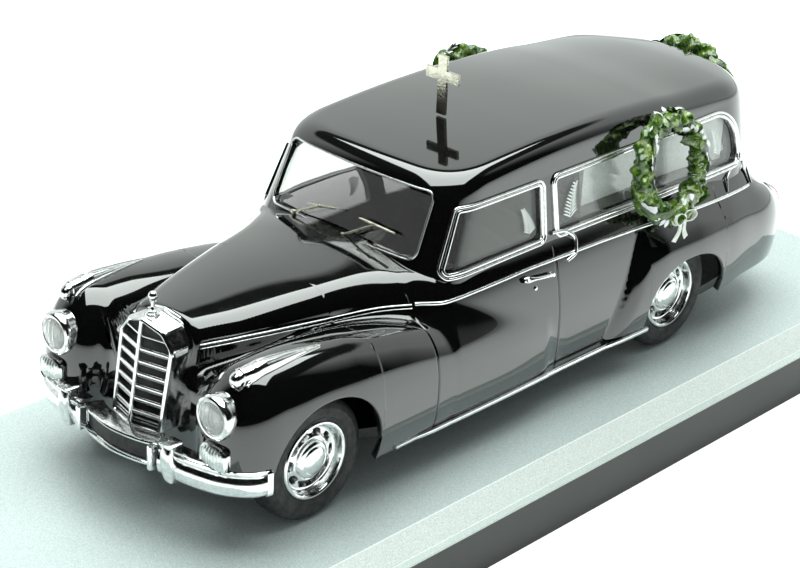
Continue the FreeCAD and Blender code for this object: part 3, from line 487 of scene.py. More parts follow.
def outward(mesh, merge=0.0):
    """Turn a mesh's faces outward, after merging its doubles if a distance is given."""
    work = bmesh.new()
    work.from_mesh(mesh)
    if merge:
        bmesh.ops.remove_doubles(work, verts=work.verts, dist=merge)
    bmesh.ops.recalc_face_normals(work, faces=work.faces)
    work.to_mesh(mesh)
    work.free()


def shown(name, data):
    """Object for a mesh, lamp or camera, put into the scene."""
    obj = bpy.data.objects.new(name, data)
    bpy.context.scene.collection.objects.link(obj)
    return obj


def build(name, parts, material, body="model", smooth=38.0, replaces=(), slot=None, mirror=False,
          recalc=True):
    """Mesh object from mixed parts, with outward normals and, if asked, its own mirror image."""
    points, faces = joined(parts)
    if mirror:
        faces = faces + [[k + len(points) for k in face[::-1]] for face in faces]
        points = np.concatenate([points, points * np.array([-1.0, 1.0, 1.0])])
    mesh = bpy.data.meshes.new(name)
    mesh.from_pydata(placed(points).tolist(), [], faces)
    mesh.validate()
    if recalc:
        outward(mesh, 1e-7)
    mesh.polygons.foreach_set("use_smooth", np.ones(len(mesh.polygons), bool))
    mesh.set_sharp_from_angle(angle=math.radians(smooth))
    mesh.materials.append(material)
    obj = shown(name, mesh)
    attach(obj, body)
    if replaces:
        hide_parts(*replaces)
    return obj


def plated(name, parts, replaces=(), **more):
    """Bright plated piece."""
    return build(name, parts, CHROME, replaces=replaces, slot="steel", **more)


def pair(stem):
    """Names of a node and its mirror image."""
    return stem + "_left", stem + "_right"


# window outlines: side windows in (y, z), end windows in (x, z); (a, b, corner radius)
DOOR_WINDOW = ((-11.4, 25.1, 0.4), (-8.0, 32.3, 0.4), (7.1, 32.1, 0.5), (6.8, 25.0, 0.5))
SIDE_WINDOW = ((10.3, 25.0, 0.5), (10.3, 32.1, 0.5), (50.2, 31.8, 5.6), (51.6, 24.2, 1.0))
SCREEN = ((-13.1, 26.5, 1.1), (-12.8, 34.7, 1.1), (12.8, 34.7, 1.1), (13.1, 26.5, 1.1))
REAR_SCREEN = ((-9.5, 25.0, 1.6), (-9.0, 32.6, 2.2), (9.0, 32.6, 2.2), (9.5, 25.0, 1.6))


PANE_RINGS = 14
PANE_LEVELS = (-0.45, -0.95)


def cutter(corners, axis, low, high):
    """Closed prism on a rounded outline, standing along one axis between two places."""
    ring = round_outline(corners)
    n = len(ring)
    points = np.concatenate([np.insert(ring, axis, place, axis=1) for place in (low, high)])
    mesh = bpy.data.meshes.new("cutter")
    faces = grid_faces(2, n, close_cols=True).tolist() + [list(range(n)), list(range(n, 2 * n))[::-1]]
    mesh.from_pydata(placed(points).tolist(), [], faces)
    outward(mesh)
    return shown("cutter", mesh)


def make_roof():
    """Pillars, sides and roof above the belt, with the window openings cut through."""
    ends = np.linspace(0, 1, 96, endpoint=False)
    sides = np.linspace(0, 1, 70, endpoint=False)
    u = np.concatenate([sides, 1 + ends, 2 + sides, 3 + ends])
    uu, vv = np.meshgrid(u, np.linspace(0, math.pi / 2, 150), indexing="ij")
    skin = (greenhouse_ray(uu, vv), grid_faces(*uu.shape, close_rows=True))
    obj = walled(build("roof_skin", [skin], PAINT, slot="body_shell"))
    for corners, axis, low, high in ((DOOR_WINDOW, 0, -30, 30), (SIDE_WINDOW, 0, -30, 30),
                                     (SCREEN, 1, -30, -2), (REAR_SCREEN, 1, 50, 70)):
        tool = cutter(corners, axis, float(low), float(high))
        cut = obj.modifiers.new("window", "BOOLEAN")
        cut.object, cut.operation, cut.solver = tool, "DIFFERENCE", "EXACT"
        done = bpy.data.meshes.new_from_object(obj.evaluated_get(bpy.context.evaluated_depsgraph_get()))
        obj.modifiers.clear()
        obj.data = done
        bpy.data.objects.remove(tool)
    done.set_sharp_from_angle(angle=math.radians(38.0))


def window_glass(name, corners, place, replaces, mirror=False):
    """Pane on the wall's own curve: rings shrinking from the outline to its middle, given a thickness."""
    ring = grown(round_outline(corners), 0.25)
    middle = ring.mean(0)
    flat = middle + np.linspace(1.0, 0.02, PANE_RINGS)[:, None, None] * (ring - middle)
    outer, inner = (place(flat[..., 0], flat[..., 1], level) for level in PANE_LEVELS)
    n = len(ring)
    grid = grid_faces(PANE_RINGS, n, close_cols=True)
    hub = [(PANE_RINGS - 1) * n + k for k in range(n)]
    parts = [(outer, grid.tolist() + [hub]), (inner, grid[:, ::-1].tolist() + [hub[::-1]]),
             (np.stack([outer[0], inner[0]]), grid_faces(2, n, close_cols=True)[:, ::-1])]
    build(name, parts, GLASS, replaces=replaces, slot="glass", mirror=mirror)


def frame_strip(corners, place, grow, width, height):
    """Strip standing on the wall round a window's outline."""
    ring = grown(round_outline(corners), grow)
    path = place(ring[:, 0], ring[:, 1])
    return sweep(path, normal(roof_field, path), width, height, closed=True)


def side_place(y, z, level=0.0):
    """Point of the greenhouse's left side."""
    return on_side(roof_field, y, z, level)


def front_place(x, z, level=0.0):
    """Point of the windscreen's surface."""
    return on_end(roof_field, x, z, -1, level)


def rear_place(x, z, level=0.0):
    """Point of the rear screen's surface."""
    return on_end(roof_field, x, z, 1, level)


def make_windows():
    """Panes first, then thin end trims and double side frames."""
    ends = (("windscreen", "windscreen", "windscreen_frame", SCREEN, front_place, (0.1, 0.26, 0.14)),
            ("rear", "rear_window", "rear_window_frame", REAR_SCREEN, rear_place, (0.22, 0.5, 0.28)))
    sides = (("door", DOOR_WINDOW), ("side", SIDE_WINDOW))
    for name, node, _, corners, place, _ in ends:
        window_glass(name + "_pane", corners, place, (node,))
    for name, corners in sides:
        window_glass(name + "_panes", corners, side_place, pair(name + "_glass"), mirror=True)
    for name, _, frame_node, corners, place, strip in ends:
        plated(name + "_trim", [frame_strip(corners, place, *strip)], (frame_node,))
    for name, corners in sides:
        strips = [frame_strip(corners, side_place, *strip)
                  for strip in ((0.2, 0.5, 0.26), (0.72, 0.42, 0.34))]
        plated(name + "_trim", strips, pair(name + "_frame"), mirror=True)


def skin_field(x, y, z):
    """Body and greenhouse as one surface."""
    return blend_min(body_field(x, y, z), roof_field(x, y, z), 1.0)


def side_run(ys, zs, width, height, field=skin_field, level=0.0, count=260):
    """Strip on the car's left side through (y, z) rows, evenly spaced in y."""
    y = np.linspace(ys[0], ys[-1], count)
    path = on_side(field, y, np.interp(y, ys, zs), level)
    return sweep(path, normal(field, path), width, height)


def make_strips():
    """Belt and sill strips."""
    belt = side_run((-15.6, 3.0, 18.0, 31.0, 53.6), (22.0, 22.1, 21.7, 21.1, 19.9), 0.5, 0.28)
    plated("belt_strips", [belt], pair("belt_strip"), mirror=True)
    plated("sill_strips", [side_run((-23.3, 27.6), (6.15, 6.0), 0.8, 0.3)], pair("sill_strip"), mirror=True)


# ---------------------------------------------------------------- turned, lofted and swept details
def turned(profile, count=72):
    """Profile rows (radius, height) turned about the local third axis and closed at both ends."""
    profile = np.asarray(profile, float)
    a = np.linspace(0, 2 * math.pi, count, endpoint=False)
    r, h = profile[:, :1], profile[:, 1:]
    points = np.stack([r * np.cos(a), r * np.sin(a), h + 0 * a], -1)
    last = (len(profile) - 1) * count
    faces = grid_faces(len(profile), count, close_cols=True).tolist()
    return points, faces + [list(range(count))[::-1], [last + k for k in range(count)]]


def aimed(part, origin, axis, up=(0, 0, 1)):
    """Carry a local part to origin with its third axis along axis and its second near up."""
    points, faces = part
    c = unit(axis)
    a = unit(np.cross(up, c))
    return np.asarray(points) @ np.stack([a, np.cross(c, a), c]) + np.asarray(origin, float), faces


def stacked(rings):
    """Skin over closed rings of equal length, with flat ends."""
    rings = np.asarray(rings, float)
    rows, cols = rings.shape[:2]
    faces = grid_faces(rows, cols, close_cols=True).tolist()
    return rings, faces + [list(range(cols))[::-1], [(rows - 1) * cols + k for k in range(cols)]]


def oval(a, b, power=2.0, count=48):
    """Superellipse |u/a|^power + |v/b|^power = 1."""
    t = np.linspace(0, 2 * math.pi, count, endpoint=False)
    c, s = np.cos(t), np.sin(t)
    return np.stack([half * np.sign(part) * np.abs(part) ** (2 / power)
                     for half, part in ((a, c), (b, s))], -1)


def moulding(path, out, rise, section):
    """Closed section rows (out, up) carried along an open path with its own out and up directions."""
    section = np.asarray(section, float)
    ring = path[:, None] + out[:, None] * section[None, :, :1] + rise[:, None] * section[None, :, 1:]
    return stacked(ring)


def on_top(field, x, y):
    """Point of the field's surface straight above x and y."""
    x, y = np.broadcast_arrays(np.asarray(x, float), np.asarray(y, float))
    z = root(lambda z: field(x, y, z), 12.0 + 0 * x, 45.0 + 0 * x)
    return np.stack([x, y, z], -1)


def smooth_path(rows, count):
    """Even samples of the smooth curve through rows (share, values...)."""
    return np.stack(track(rows, np.linspace(rows[0][0], rows[-1][0], count)), -1)


# ---------------------------------------------------------------- radiator and its ornament
SHELL_OUTER = ((-4.65, 10.9, 0.4), (4.65, 10.9, 0.4), (5.05, 21.6, 2.2), (3.3, 23.75, 1.6), (0.0, 24.75, 0.6),
               (-3.3, 23.75, 1.6), (-5.05, 21.6, 2.2))
SHELL_INNER = ((-4.0, 11.2, 0.2), (4.0, 11.2, 0.2), (4.3, 21.5, 1.0), (2.9, 23.1, 1.3), (0.0, 24.15, 0.5),
               (-2.9, 23.1, 1.3), (-4.3, 21.5, 1.0))
SHELL_RIM = ((0, 3.9), (0, 3.6), (-0.14, 3.5), (-0.14, 3.2), (0, 3.1), (0, 0.62), (0.06, 0.28), (0.2, 0.06),
             (0.5, -0.05), (0.78, 0.04), (0.93, 0.2), (1, 0.48), (1, 1.7))
BARS = (12.85, 14.43, 16.01, 17.59, 19.17, 20.75)


def prow(x, z, back=0.0):
    """Leaning radiator face, drawn back from its middle rib, at a depth behind the face."""
    return -49.5 + 0.162 * (z - 11.1) + 0.25 * np.abs(x) + back


def make_radiator():
    """Pointed shell with a rolled rim, bars with a fine bead, middle rib, dark back and a flange."""
    outer, inner = (round_outline(corners, 16, 18) for corners in (SHELL_OUTER, SHELL_INNER))
    rows = []
    for share, depth in SHELL_RIM:
        flat = outer + share * (inner - outer)
        rows.append(upright(flat, 0, prow(*flat.T, depth), 0))
    rim = (np.array(rows), grid_faces(len(rows), len(outer), close_cols=True))
    plated("radiator_rim", [rim], ("radiator_shell",), smooth=30)
    parts = []
    thin_bars = [(22.35, 0.13, 0.24), (11.55, 0.11, 0.24), (11.95, 0.11, 0.24)]
    for z, tall, deep in [(z, 0.27, 0.34) for z in BARS] + thin_bars:
        reach = float(np.interp(z, (11.2, 21.5, 22.2, 23.1), (4.02, 4.3, 3.75, 2.9)))
        for side in (-1, 1):
            x = side * np.linspace(0.1, reach, 10)
            path = np.stack([x, prow(x, z, 0.5), z + 0 * x], -1)
            out, rise = (np.tile(way, (10, 1)) for way in ([0.0, -1.0, 0.16], [0.0, 0.16, 1.0]))
            parts.append(moulding(path, out, rise, oval(deep, tall, 3.0, 20)))
            if z in BARS:
                parts.append(moulding(path, out, rise, oval(0.2, 0.08, 2.2, 12) + np.array([-0.05, -0.42])))
    z = np.linspace(11.3, 24.25, 24)
    path = np.stack([0 * z, prow(0 * z, z, 0.35), z], -1)
    out, rise = (np.tile(way, (24, 1)) for way in ([0.0, -1.0, 0.16], [1.0, 0.0, 0.0]))
    parts.append(moulding(path, out, rise, oval(0.45, 0.25, 2.6, 20)))
    plated("radiator_slats", parts, ("radiator_bars",), smooth=40)
    back = grown(round_outline(SHELL_INNER, 8, 8), 0.05)
    rings = [upright(back, 0, prow(*back.T, depth), 0) for depth in (1.35, 1.65)]
    build("radiator_back", [stacked(rings)], GRILLE_DARK, slot="steel")
    flange = grown(outer, 0.12)
    path = upright(flange, 0, prow(*flange.T, 3.75), 0)
    up = unit(upright(np.stack([flange[:, 0], np.maximum(flange[:, 1] - 20.0, 0) * 1.2], -1), 0, 0, 0))
    order = np.argsort(np.arctan2(path[:, 0], path[:, 2] - 15.0))
    order = order[path[order, 2] > 11.5][3:-3]
    plated("radiator_flange", [sweep(path[order], up[order], 0.3, 0.18)])


def make_ornament():
    """Stepped foot, waisted stem, collar and a plain ball."""
    ball = [(0.62 * math.sin(a), 2.35 - 0.62 * math.cos(a)) for a in np.linspace(0.42, math.pi - 0.01, 22)]
    rows = [(0.95, -0.35), (0.95, 0.0), (0.9, 0.14), (0.62, 0.22), (0.55, 0.34), (0.55, 0.5), (0.36, 0.6),
            (0.25, 0.9), (0.22, 1.25), (0.26, 1.5), (0.42, 1.58), (0.44, 1.68), (0.3, 1.76)] + ball
    knob = aimed(turned(rows, 40), (0, -45.5, 24.75), (0, 0.06, 1), (0, 1, 0))
    plated("radiator_knob", [knob], ("radiator_ornament",), smooth=40)


# ---------------------------------------------------------------- lamps
HEADLAMP = (14.8, -49.0, 17.65)
FOG_LAMP = (15.3, -49.55, 12.6)
FOG_HALF = (2.15, 1.62)
AHEAD = (0, -1, 0)


def make_headlamps():
    """Turned rim with its bowl, square bulb shield and a domed glass with a thickness."""
    rim = [(2.2, -4.4), (2.5, -3.6), (2.68, -2.2), (2.76, -0.95), (2.86, -0.85), (2.9, -0.5),
           (2.86, -0.15), (2.74, 0.12), (2.5, 0.26), (2.3, 0.22), (2.26, 0.1), (2.2, 0.02),
           (2.16, 0.1), (2.1, 0.1), (2.06, -0.3), (1.95, -0.75), (1.7, -1.15), (1.3, -1.45),
           (0.95, -1.6), (0.6, -1.65), (0.3, -1.66), (0.02, -1.66)]
    plated("headlamp_rims", [aimed(turned(rim, 96), HEADLAMP, AHEAD)], pair("headlamp"),
           mirror=True, smooth=32)
    shield = [level_ring(oval(0.72 * k, 0.72 * k, 5.0, 32), 0, 0, h)
              for k, h in ((1.0, -1.5), (1.0, -0.5), (0.9, -0.42), (0.1, -0.4))]
    build("headlamp_bulbs", [aimed(stacked(shield), HEADLAMP, AHEAD)], BULB, mirror=True, slot="lamp_glass")
    dome = [(2.1 * math.sin(a), 0.6 * math.cos(a) + 0.04) for a in np.linspace(0.01, math.pi / 2, 26)]
    lens = dome + [(2.1, -0.2), (1.92, -0.2)] + [(r * 0.97, h - 0.3) for r, h in dome[::-1] if r < 1.9]
    build("headlamp_domes", [aimed(turned(lens, 96), HEADLAMP, AHEAD)], LENS, mirror=True,
          replaces=pair("headlamp_lens"), slot="lamp_glass")


def make_fog_lamps():
    """Softened box in the wing's corner: plated frame with two lips and an upright-fluted convex lens."""
    cx, cy, cz = FOG_LAMP
    wide, tall = FOG_HALF
    frame_rows = ((0.96, 2.9), (1.0, 2.0), (1.0, 0.55), (1.06, 0.45), (1.06, 0.15), (1.0, 0.0), (0.97, -0.06),
                  (0.93, 0.0), (0.915, 0.2), (0.915, 0.9))
    rings = [upright(oval(wide * share, tall * share, 3.4, 96), cx, cy + depth, cz)
             for share, depth in frame_rows]
    plated("fog_lamp_frames", [stacked(rings)], pair("fog_lamp"), mirror=True, smooth=30)
    rings = []
    for share in np.linspace(0.925, 0.03, 22):
        flat = oval(wide * share, tall * share, 3.4 - 1.2 * (1 - share / 0.925), 168)
        bulge = 0.5 * (1 - (share / 0.95) ** 2)
        flutes = 0.11 * np.abs(np.sin(math.pi * flat[:, 0] / 0.5)) * min(1, 6 * (0.93 - share))
        rings.append(upright(flat, cx, cy + 0.15 - bulge - flutes, cz))
    behind = rings[0] + np.array([0.0, 0.6, 0.0])
    build("fog_lamp_lenses", [stacked([behind] + rings)], FLUTED, mirror=True, slot="lamp_glass")


def make_wing_lamps():
    """Long plated spear on the wing: round nose, collar, stepped body and a drawn-out tail."""
    marks = (-47.0, -46.92, -46.7, -46.3, -45.8, -45.7, -45.45, -45.35, -44.3, -42.3, -39.5, -36.5, -33.2)
    y = np.unique(np.concatenate([np.linspace(marks[0], marks[-1], 150), marks]))
    wide = np.interp(y, marks, (0.1, 0.45, 0.75, 0.9, 0.92, 1.05, 1.05, 0.95, 1.12, 1.12, 0.9, 0.55, 0.08))
    tall = np.interp(y, marks, (0.1, 0.42, 0.7, 0.85, 0.88, 1.0, 1.0, 0.9, 1.02, 0.95, 0.68, 0.38, 0.06))
    x = np.interp(y, (-47.0, -44.0, -39.0, -33.2), (15.8, 16.0, 16.15, 16.5))
    path = on_top(front_wing_field, x, y)
    z = np.maximum(path[:, 2], np.interp(y, (-47.0, -45.5, -42.0), (22.0, 22.4, 22.6))) + 0.05
    rings = []
    for k in range(len(y)):
        flat = oval(wide[k], tall[k], 2.3, 40)
        flat[:, 1] = np.where(flat[:, 1] < 0, flat[:, 1] * 1.3, flat[:, 1])
        rings.append(upright(flat, x[k], y[k], z[k]))
    up = normal(front_wing_field, path)
    foot = sweep(path[20:-3], up[20:-3], (2 * wide + 0.55)[20:-3], 0.2, around=12, flat=0.8)
    crest = np.stack([x, y, z + tall - 0.08], -1)[48:-6]
    ridge = sweep(crest, np.tile([0.0, 0.0, 1.0], (len(crest), 1)), 0.26, 0.18)
    plated("wing_spears", [stacked(rings), foot, ridge], pair("wing_lamp"), mirror=True, smooth=34)


# ---------------------------------------------------------------- bumpers
BUMPER_Z = 10.1


def bumper_section():
    """Shelf, two rolled ridges, a groove and a broad bulging face, as (out, up) about its middle."""
    return ((-2.1, 1.45), (-2.1, 1.65), (-1.0, 1.72), (-0.72, 1.82), (-0.45, 1.84), (-0.3, 1.72),
            (-0.26, 1.52), (-0.1, 1.46), (0.1, 1.5), (0.26, 1.42), (0.3, 1.22), (0.22, 1.02),
            (0.08, 0.94), (0.06, 0.82), (0.3, 0.66), (0.52, 0.3), (0.62, -0.25), (0.6, -0.85),
            (0.45, -1.4), (0.2, -1.8), (-0.1, -2.0), (-0.45, -2.02), (-0.55, -1.8), (-0.3, -1.4),
            (-0.1, -0.8), (-0.2, 0.6), (-0.6, 1.2), (-1.4, 1.4))


def plan_path(rows, z, count):
    """Path at height z through plan rows (share, x, y), with its outward directions."""
    plan = smooth_path(rows, count)
    t = tangents(plan)
    path = level_ring(plan, 0, 0, z)
    return path, np.stack([t[:, 1], -t[:, 0], 0 * t[:, 0]], -1), np.tile([0.0, 0.0, 1.0], (count, 1))


def overrider(x, y, way):
    """Upright block under a flat plate, with a hanging rounded tongue."""
    rows = ((-2.6, 0.12, 0.12, 0.1), (-2.5, 0.5, 0.45, 0.05), (-2.1, 0.85, 0.75, 0.0), (-1.2, 1.0, 1.0, 0.0),
            (-0.2, 1.05, 1.2, 0.0), (1.2, 1.0, 1.3, 0.0), (2.4, 0.85, 1.1, 0.1), (2.7, 0.8, 1.0, 0.15))
    heights = np.linspace(-2.6, 2.7, 26)
    block = [level_ring(oval(a, b, 3.2, 44), x, y - way * back, BUMPER_Z + z)
             for z, a, b, back in zip(heights, *track(rows, heights))]
    plate = [level_ring(oval(1.15 * k, 1.2 * k, 6.0, 44), x, y, z) for k, z in
             ((0.8, 12.68), (0.97, 12.74), (1.0, 12.84), (1.0, 12.98), (0.97, 13.06), (0.9, 13.1),
              (0.1, 13.12))]
    return joined([stacked(block), stacked(plate)])


def make_front_bumper():
    """Two side bands with end lugs and overriders, and a bowed middle whose recessed face holds a near-black
    panel, a painted reflection of the dark below mirrored in its chrome.
    """
    side = ((0.0, 7.6, -50.7), (0.25, 11.2, -50.35), (0.5, 15.2, -49.4), (0.72, 18.0, -47.9),
            (0.88, 19.5, -46.2), (1.0, 20.0, -44.6))
    path, out, rise = plan_path(side, BUMPER_Z - 0.2, 60)
    band = moulding(path + 0.25 * out, out, rise, bumper_section())
    lug_end, lug_way = np.array([20.15, -44.7, 9.75]), np.array([0.28, 0.96, 0.0])
    axes = np.array([[0.96, -0.28, 0.0], [0.0, 0.0, 1.0]])
    lug = [lug_end + lug_way * step + oval(0.75 * k, 1.75 * k, 5.0, 30) @ axes for k, step in
           ((1.0, -0.6), (1.0, 0.05), (0.97, 0.15), (0.85, 0.22), (0.2, 0.24))]
    plated("front_bumper_ends", [band, stacked(lug), overrider(9.7, -51.0, -1)], ("front_bumper",),
           mirror=True, smooth=34)
    middle = ((0.0, -7.0, -50.9), (0.12, -6.2, -51.3), (0.3, -4.0, -52.0), (0.5, 0.0, -52.5),
              (0.7, 4.0, -52.0), (0.88, 6.2, -51.3), (1.0, 7.0, -50.9))
    path, out, rise = plan_path(middle, BUMPER_Z, 60)
    shelf = ((-2.6, 1.35), (-2.6, 1.6), (-0.3, 1.66), (-0.08, 1.62), (0.0, 1.45), (-0.08, 1.22),
             (-0.5, 1.1), (-0.62, 1.0), (-0.62, -1.15), (-0.2, -1.25), (0.0, -1.4), (0.0, -1.62),
             (-0.15, -1.75), (-0.9, -1.6), (-1.0, 1.1), (-1.6, 1.3))
    parts = [moulding(path, out, rise, shelf)]
    post = ((-1.72, 0.7), (-1.6, 1.0), (1.4, 1.0), (1.58, 0.9), (1.62, 0.2))
    for way in (-1.0, 1.0):
        rings = [level_ring(oval(way * 0.42 * k, 0.75 * k, 4.0, 24), way * 6.75, -51.35, 10.05 + h)
                 for h, k in post]
        parts.append(stacked(rings))
    plated("front_bumper_middle", parts, smooth=34)
    # Near-black panel in the middle's recessed face: painted reflection standing in for the dark mirrored in
    # the chrome.
    painted_reflection = ((-0.62, 1.0), (-0.52, 0.95), (-0.52, -1.05), (-0.62, -1.1))
    build("front_bumper_painted_reflection", [moulding(path[6:-6], out[6:-6], rise[6:-6], painted_reflection)], GRILLE_DARK,
          slot="steel")


def make_rear_bumper():
    """Band wrapped round the tail, with two overriders."""
    side = ((0.0, 0.0, 66.6), (0.3, 6.0, 66.5), (0.6, 11.5, 65.7), (0.8, 15.0, 63.8), (0.92, 16.8, 61.6),
            (1.0, 17.4, 59.6))
    path, out, rise = plan_path(side, BUMPER_Z, 70)
    parts = [moulding(path, -out, rise, bumper_section()), overrider(9.0, 66.1, 1)]
    plated("rear_bumper_band", parts, ("rear_bumper",), mirror=True, smooth=34)


def make_tail_lamps():
    """Upright plated base with a pointed two-step lens."""
    rows = ((-2.6, 0.25, 0.2), (-2.3, 0.8, 0.75), (-1.4, 1.05, 1.1), (0.0, 1.1, 1.25), (1.4, 0.95, 1.05),
            (2.3, 0.6, 0.65), (2.75, 0.15, 0.15))
    lamp_x, lamp_z = 15.2, 14.6
    base, lens = [], []
    heights = np.linspace(-2.6, 2.75, 30)
    for z, a, b in zip(heights, *track(rows, heights)):
        skin_y = on_end(body_field, lamp_x, lamp_z + z, 1)[1]
        foot = oval(a + 0.18, 0.55 * (b + 0.1), 2.4, 40)
        base.append(level_ring(foot, lamp_x, skin_y - 0.15, lamp_z + z * 1.06))
        lens.append(level_ring(oval(a, 0.75 * b, 2.2, 40), lamp_x, skin_y + 0.2, lamp_z + z))
    plated("tail_lamp_bases", [stacked(base)], mirror=True)
    build("tail_lamp_lenses", [stacked(lens)], RED, mirror=True, slot="tail_lamp", replaces=pair("tail_lamp"))


# ---------------------------------------------------------------- wheels
WHEEL_X = 18.6
SLOT_R, SLOT_COUNT = 3.45, 10
TREAD_BLOCKS = 54


def make_wheels(end, hub_y):
    """Turned disc with a domed plain cap and a ring of rounded slots pressed into it."""
    profile = ((5.05, -3.6), (5.2, -0.5), (5.18, -0.2), (5.05, -0.03), (4.85, 0.0), (4.66, -0.1),
               (4.5, -0.4), (4.4, -0.85), (4.25, -1.1), (4.05, -1.2), (3.9, -1.2), (3.7, -1.15),
               (3.5, -1.1), (3.3, -1.02), (3.1, -0.92), (2.95, -0.85), (2.8, -0.8), (2.66, -0.82),
               (2.6, -0.95), (2.52, -0.95), (2.5, -0.6), (2.42, -0.42), (2.2, -0.28), (1.9, -0.2),
               (1.82, -0.24), (1.74, -0.18), (1.4, -0.06), (1.0, 0.02), (0.5, 0.07), (0.02, 0.08))
    rows = []
    for a, b in zip(profile[:-1], profile[1:]):
        steps = 3 if 2.8 <= a[0] <= 4.1 else 1
        rows += [(a[0] + (b[0] - a[0]) * k / steps, a[1] + (b[1] - a[1]) * k / steps) for k in range(steps)]
    rows.append(profile[-1])
    points, faces = turned(rows, 220)
    r = np.hypot(points[..., 0], points[..., 1])
    pitch = 2 * math.pi / SLOT_COUNT
    off = (np.arctan2(points[..., 1], points[..., 0]) + pitch / 2) % pitch - pitch / 2
    inside = np.abs((r - SLOT_R) / 0.46) ** 2.4 + np.abs(off * SLOT_R / 0.66) ** 2.4
    points[..., 2] -= 0.75 * np.clip((1.15 - inside) / 0.3, 0, 1) * (np.abs(r - SLOT_R) < 0.7)
    obj = plated("wheels_" + end, [aimed((points, faces), (WHEEL_X, hub_y, HUB_Z), (1, 0, 0))],
                 pair("wheel_" + end), body=end + "_axle", mirror=True, smooth=32, recalc=False)
    # The pressed slots' floors take the near-black second finish as painted shade, for the dark seen through
    # real slots.
    obj.data.materials.append(GRILLE_DARK)
    slot_painted_shade = ((inside < 0.85) & (np.abs(r - SLOT_R) < 0.6)).reshape(-1)
    for polygon in obj.data.polygons:
        if len(polygon.vertices) == 4 and sum(slot_painted_shade[v % len(slot_painted_shade)] for v in polygon.vertices) >= 3:
            polygon.material_index = 1


def make_tyres(end, hub_y):
    """Tyre with rounded shoulders, two grooves round the tread and blocks cut at the shoulders."""
    profile = [(5.05, -3.95), (5.2, -4.1), (5.6, -4.32), (6.3, -4.42), (7.0, -4.38), (7.5, -4.2),
               (7.85, -3.9), (8.03, -3.6), (8.1, -3.2), (8.12, -2.75), (8.02, -2.7), (8.02, -2.6),
               (8.13, -2.55), (8.15, -2.2), (8.05, -2.16), (8.05, -2.04), (8.15, -2.0), (8.13, -1.65),
               (8.02, -1.6), (8.02, -1.5), (8.12, -1.45), (8.1, -1.0), (8.03, -0.6), (7.85, -0.3),
               (7.5, -0.02), (7.0, 0.12), (6.9, 0.16), (6.8, 0.12), (6.3, 0.14), (5.75, 0.06),
               (5.65, 0.1), (5.55, 0.02), (5.25, -0.1), (5.1, -0.3), (5.05, -0.6)]
    profile = [(r, h - 0.1) for r, h in profile]
    count = 216
    points, _ = turned(profile, count)
    turn = np.arctan2(points[..., 1], points[..., 0])
    r, h = np.hypot(points[..., 0], points[..., 1]), points[..., 2]
    blocks = np.clip(np.sin(turn * TREAD_BLOCKS) * 3, 0, 1)
    shoulder = np.clip((r - 7.6) / 0.25, 0, 1) * ((h > -1.1) | (h < -3.2))
    points[..., :2] *= (1 - 0.012 * blocks * shoulder)[..., None]
    tyre = aimed((points, grid_faces(len(profile), count, True, True)), (WHEEL_X, hub_y, HUB_Z), (1, 0, 0))
    build("tyres_" + end, [tyre], TYRE, body=end + "_axle", mirror=True, slot="tyre", smooth=30,
          replaces=pair("tyre_" + end))


# ---------------------------------------------------------------- wreaths
WREATHS = (
    ("wreath_left", (19.6, 31.0, 29.4), (1.0, 0.0, 0.2), 1.0),
    ("wreath_right", (-19.6, 29.1, 29.3), (-1.0, 0.0, 0.2), 2.0),
    ("wreath_rear", (0.0, 61.8, 28.6), (0.0, 1.0, 0.16), 3.0),
)
WREATH_RING, WREATH_TUBE, WREATH_TALL = 6.3, 1.55, 1.04
LEAF_CURL = 0.3
GOLDEN = 0.6180339887


def scatter(count, k, seed):
    """Evenly spread fractions in 0-1, from the golden ratio's multiples."""
    return (np.arange(count) * GOLDEN * k + seed * 0.37) % 1.0


def leaves(place, along, out, length, width):
    """Pointed leaves, folded along the midrib and curled down at the tip, each a closed thin form."""
    u = np.array([0.0, 0.22, 0.5, 0.78, 1.0])
    half = np.array([0.12, 0.8, 1.0, 0.66, 0.08])
    across = unit(np.cross(out, along))
    lift = np.cross(along, across)
    ring = []
    for side, fold in ((-1.0, -0.22), (0.0, 0.12), (1.0, -0.22), (0.0, -0.02)):
        p = place[:, None] + along[:, None] * (u[None, :, None] * length[:, None, None])
        p = p + across[:, None] * (side * half[None, :, None] * width[:, None, None])
        rise = fold * half[None] * width[:, None] - LEAF_CURL * u[None] ** 2 * length[:, None]
        ring.append(p + lift[:, None] * rise[..., None])
    base = grid_faces(5, 4, close_cols=True).tolist() + [[3, 2, 1, 0], [16, 17, 18, 19]]
    faces = (np.arange(len(place))[:, None, None] * 20 + np.array(base)[None]).reshape(-1, 4)
    return np.stack(ring, 2).reshape(-1, 3), faces


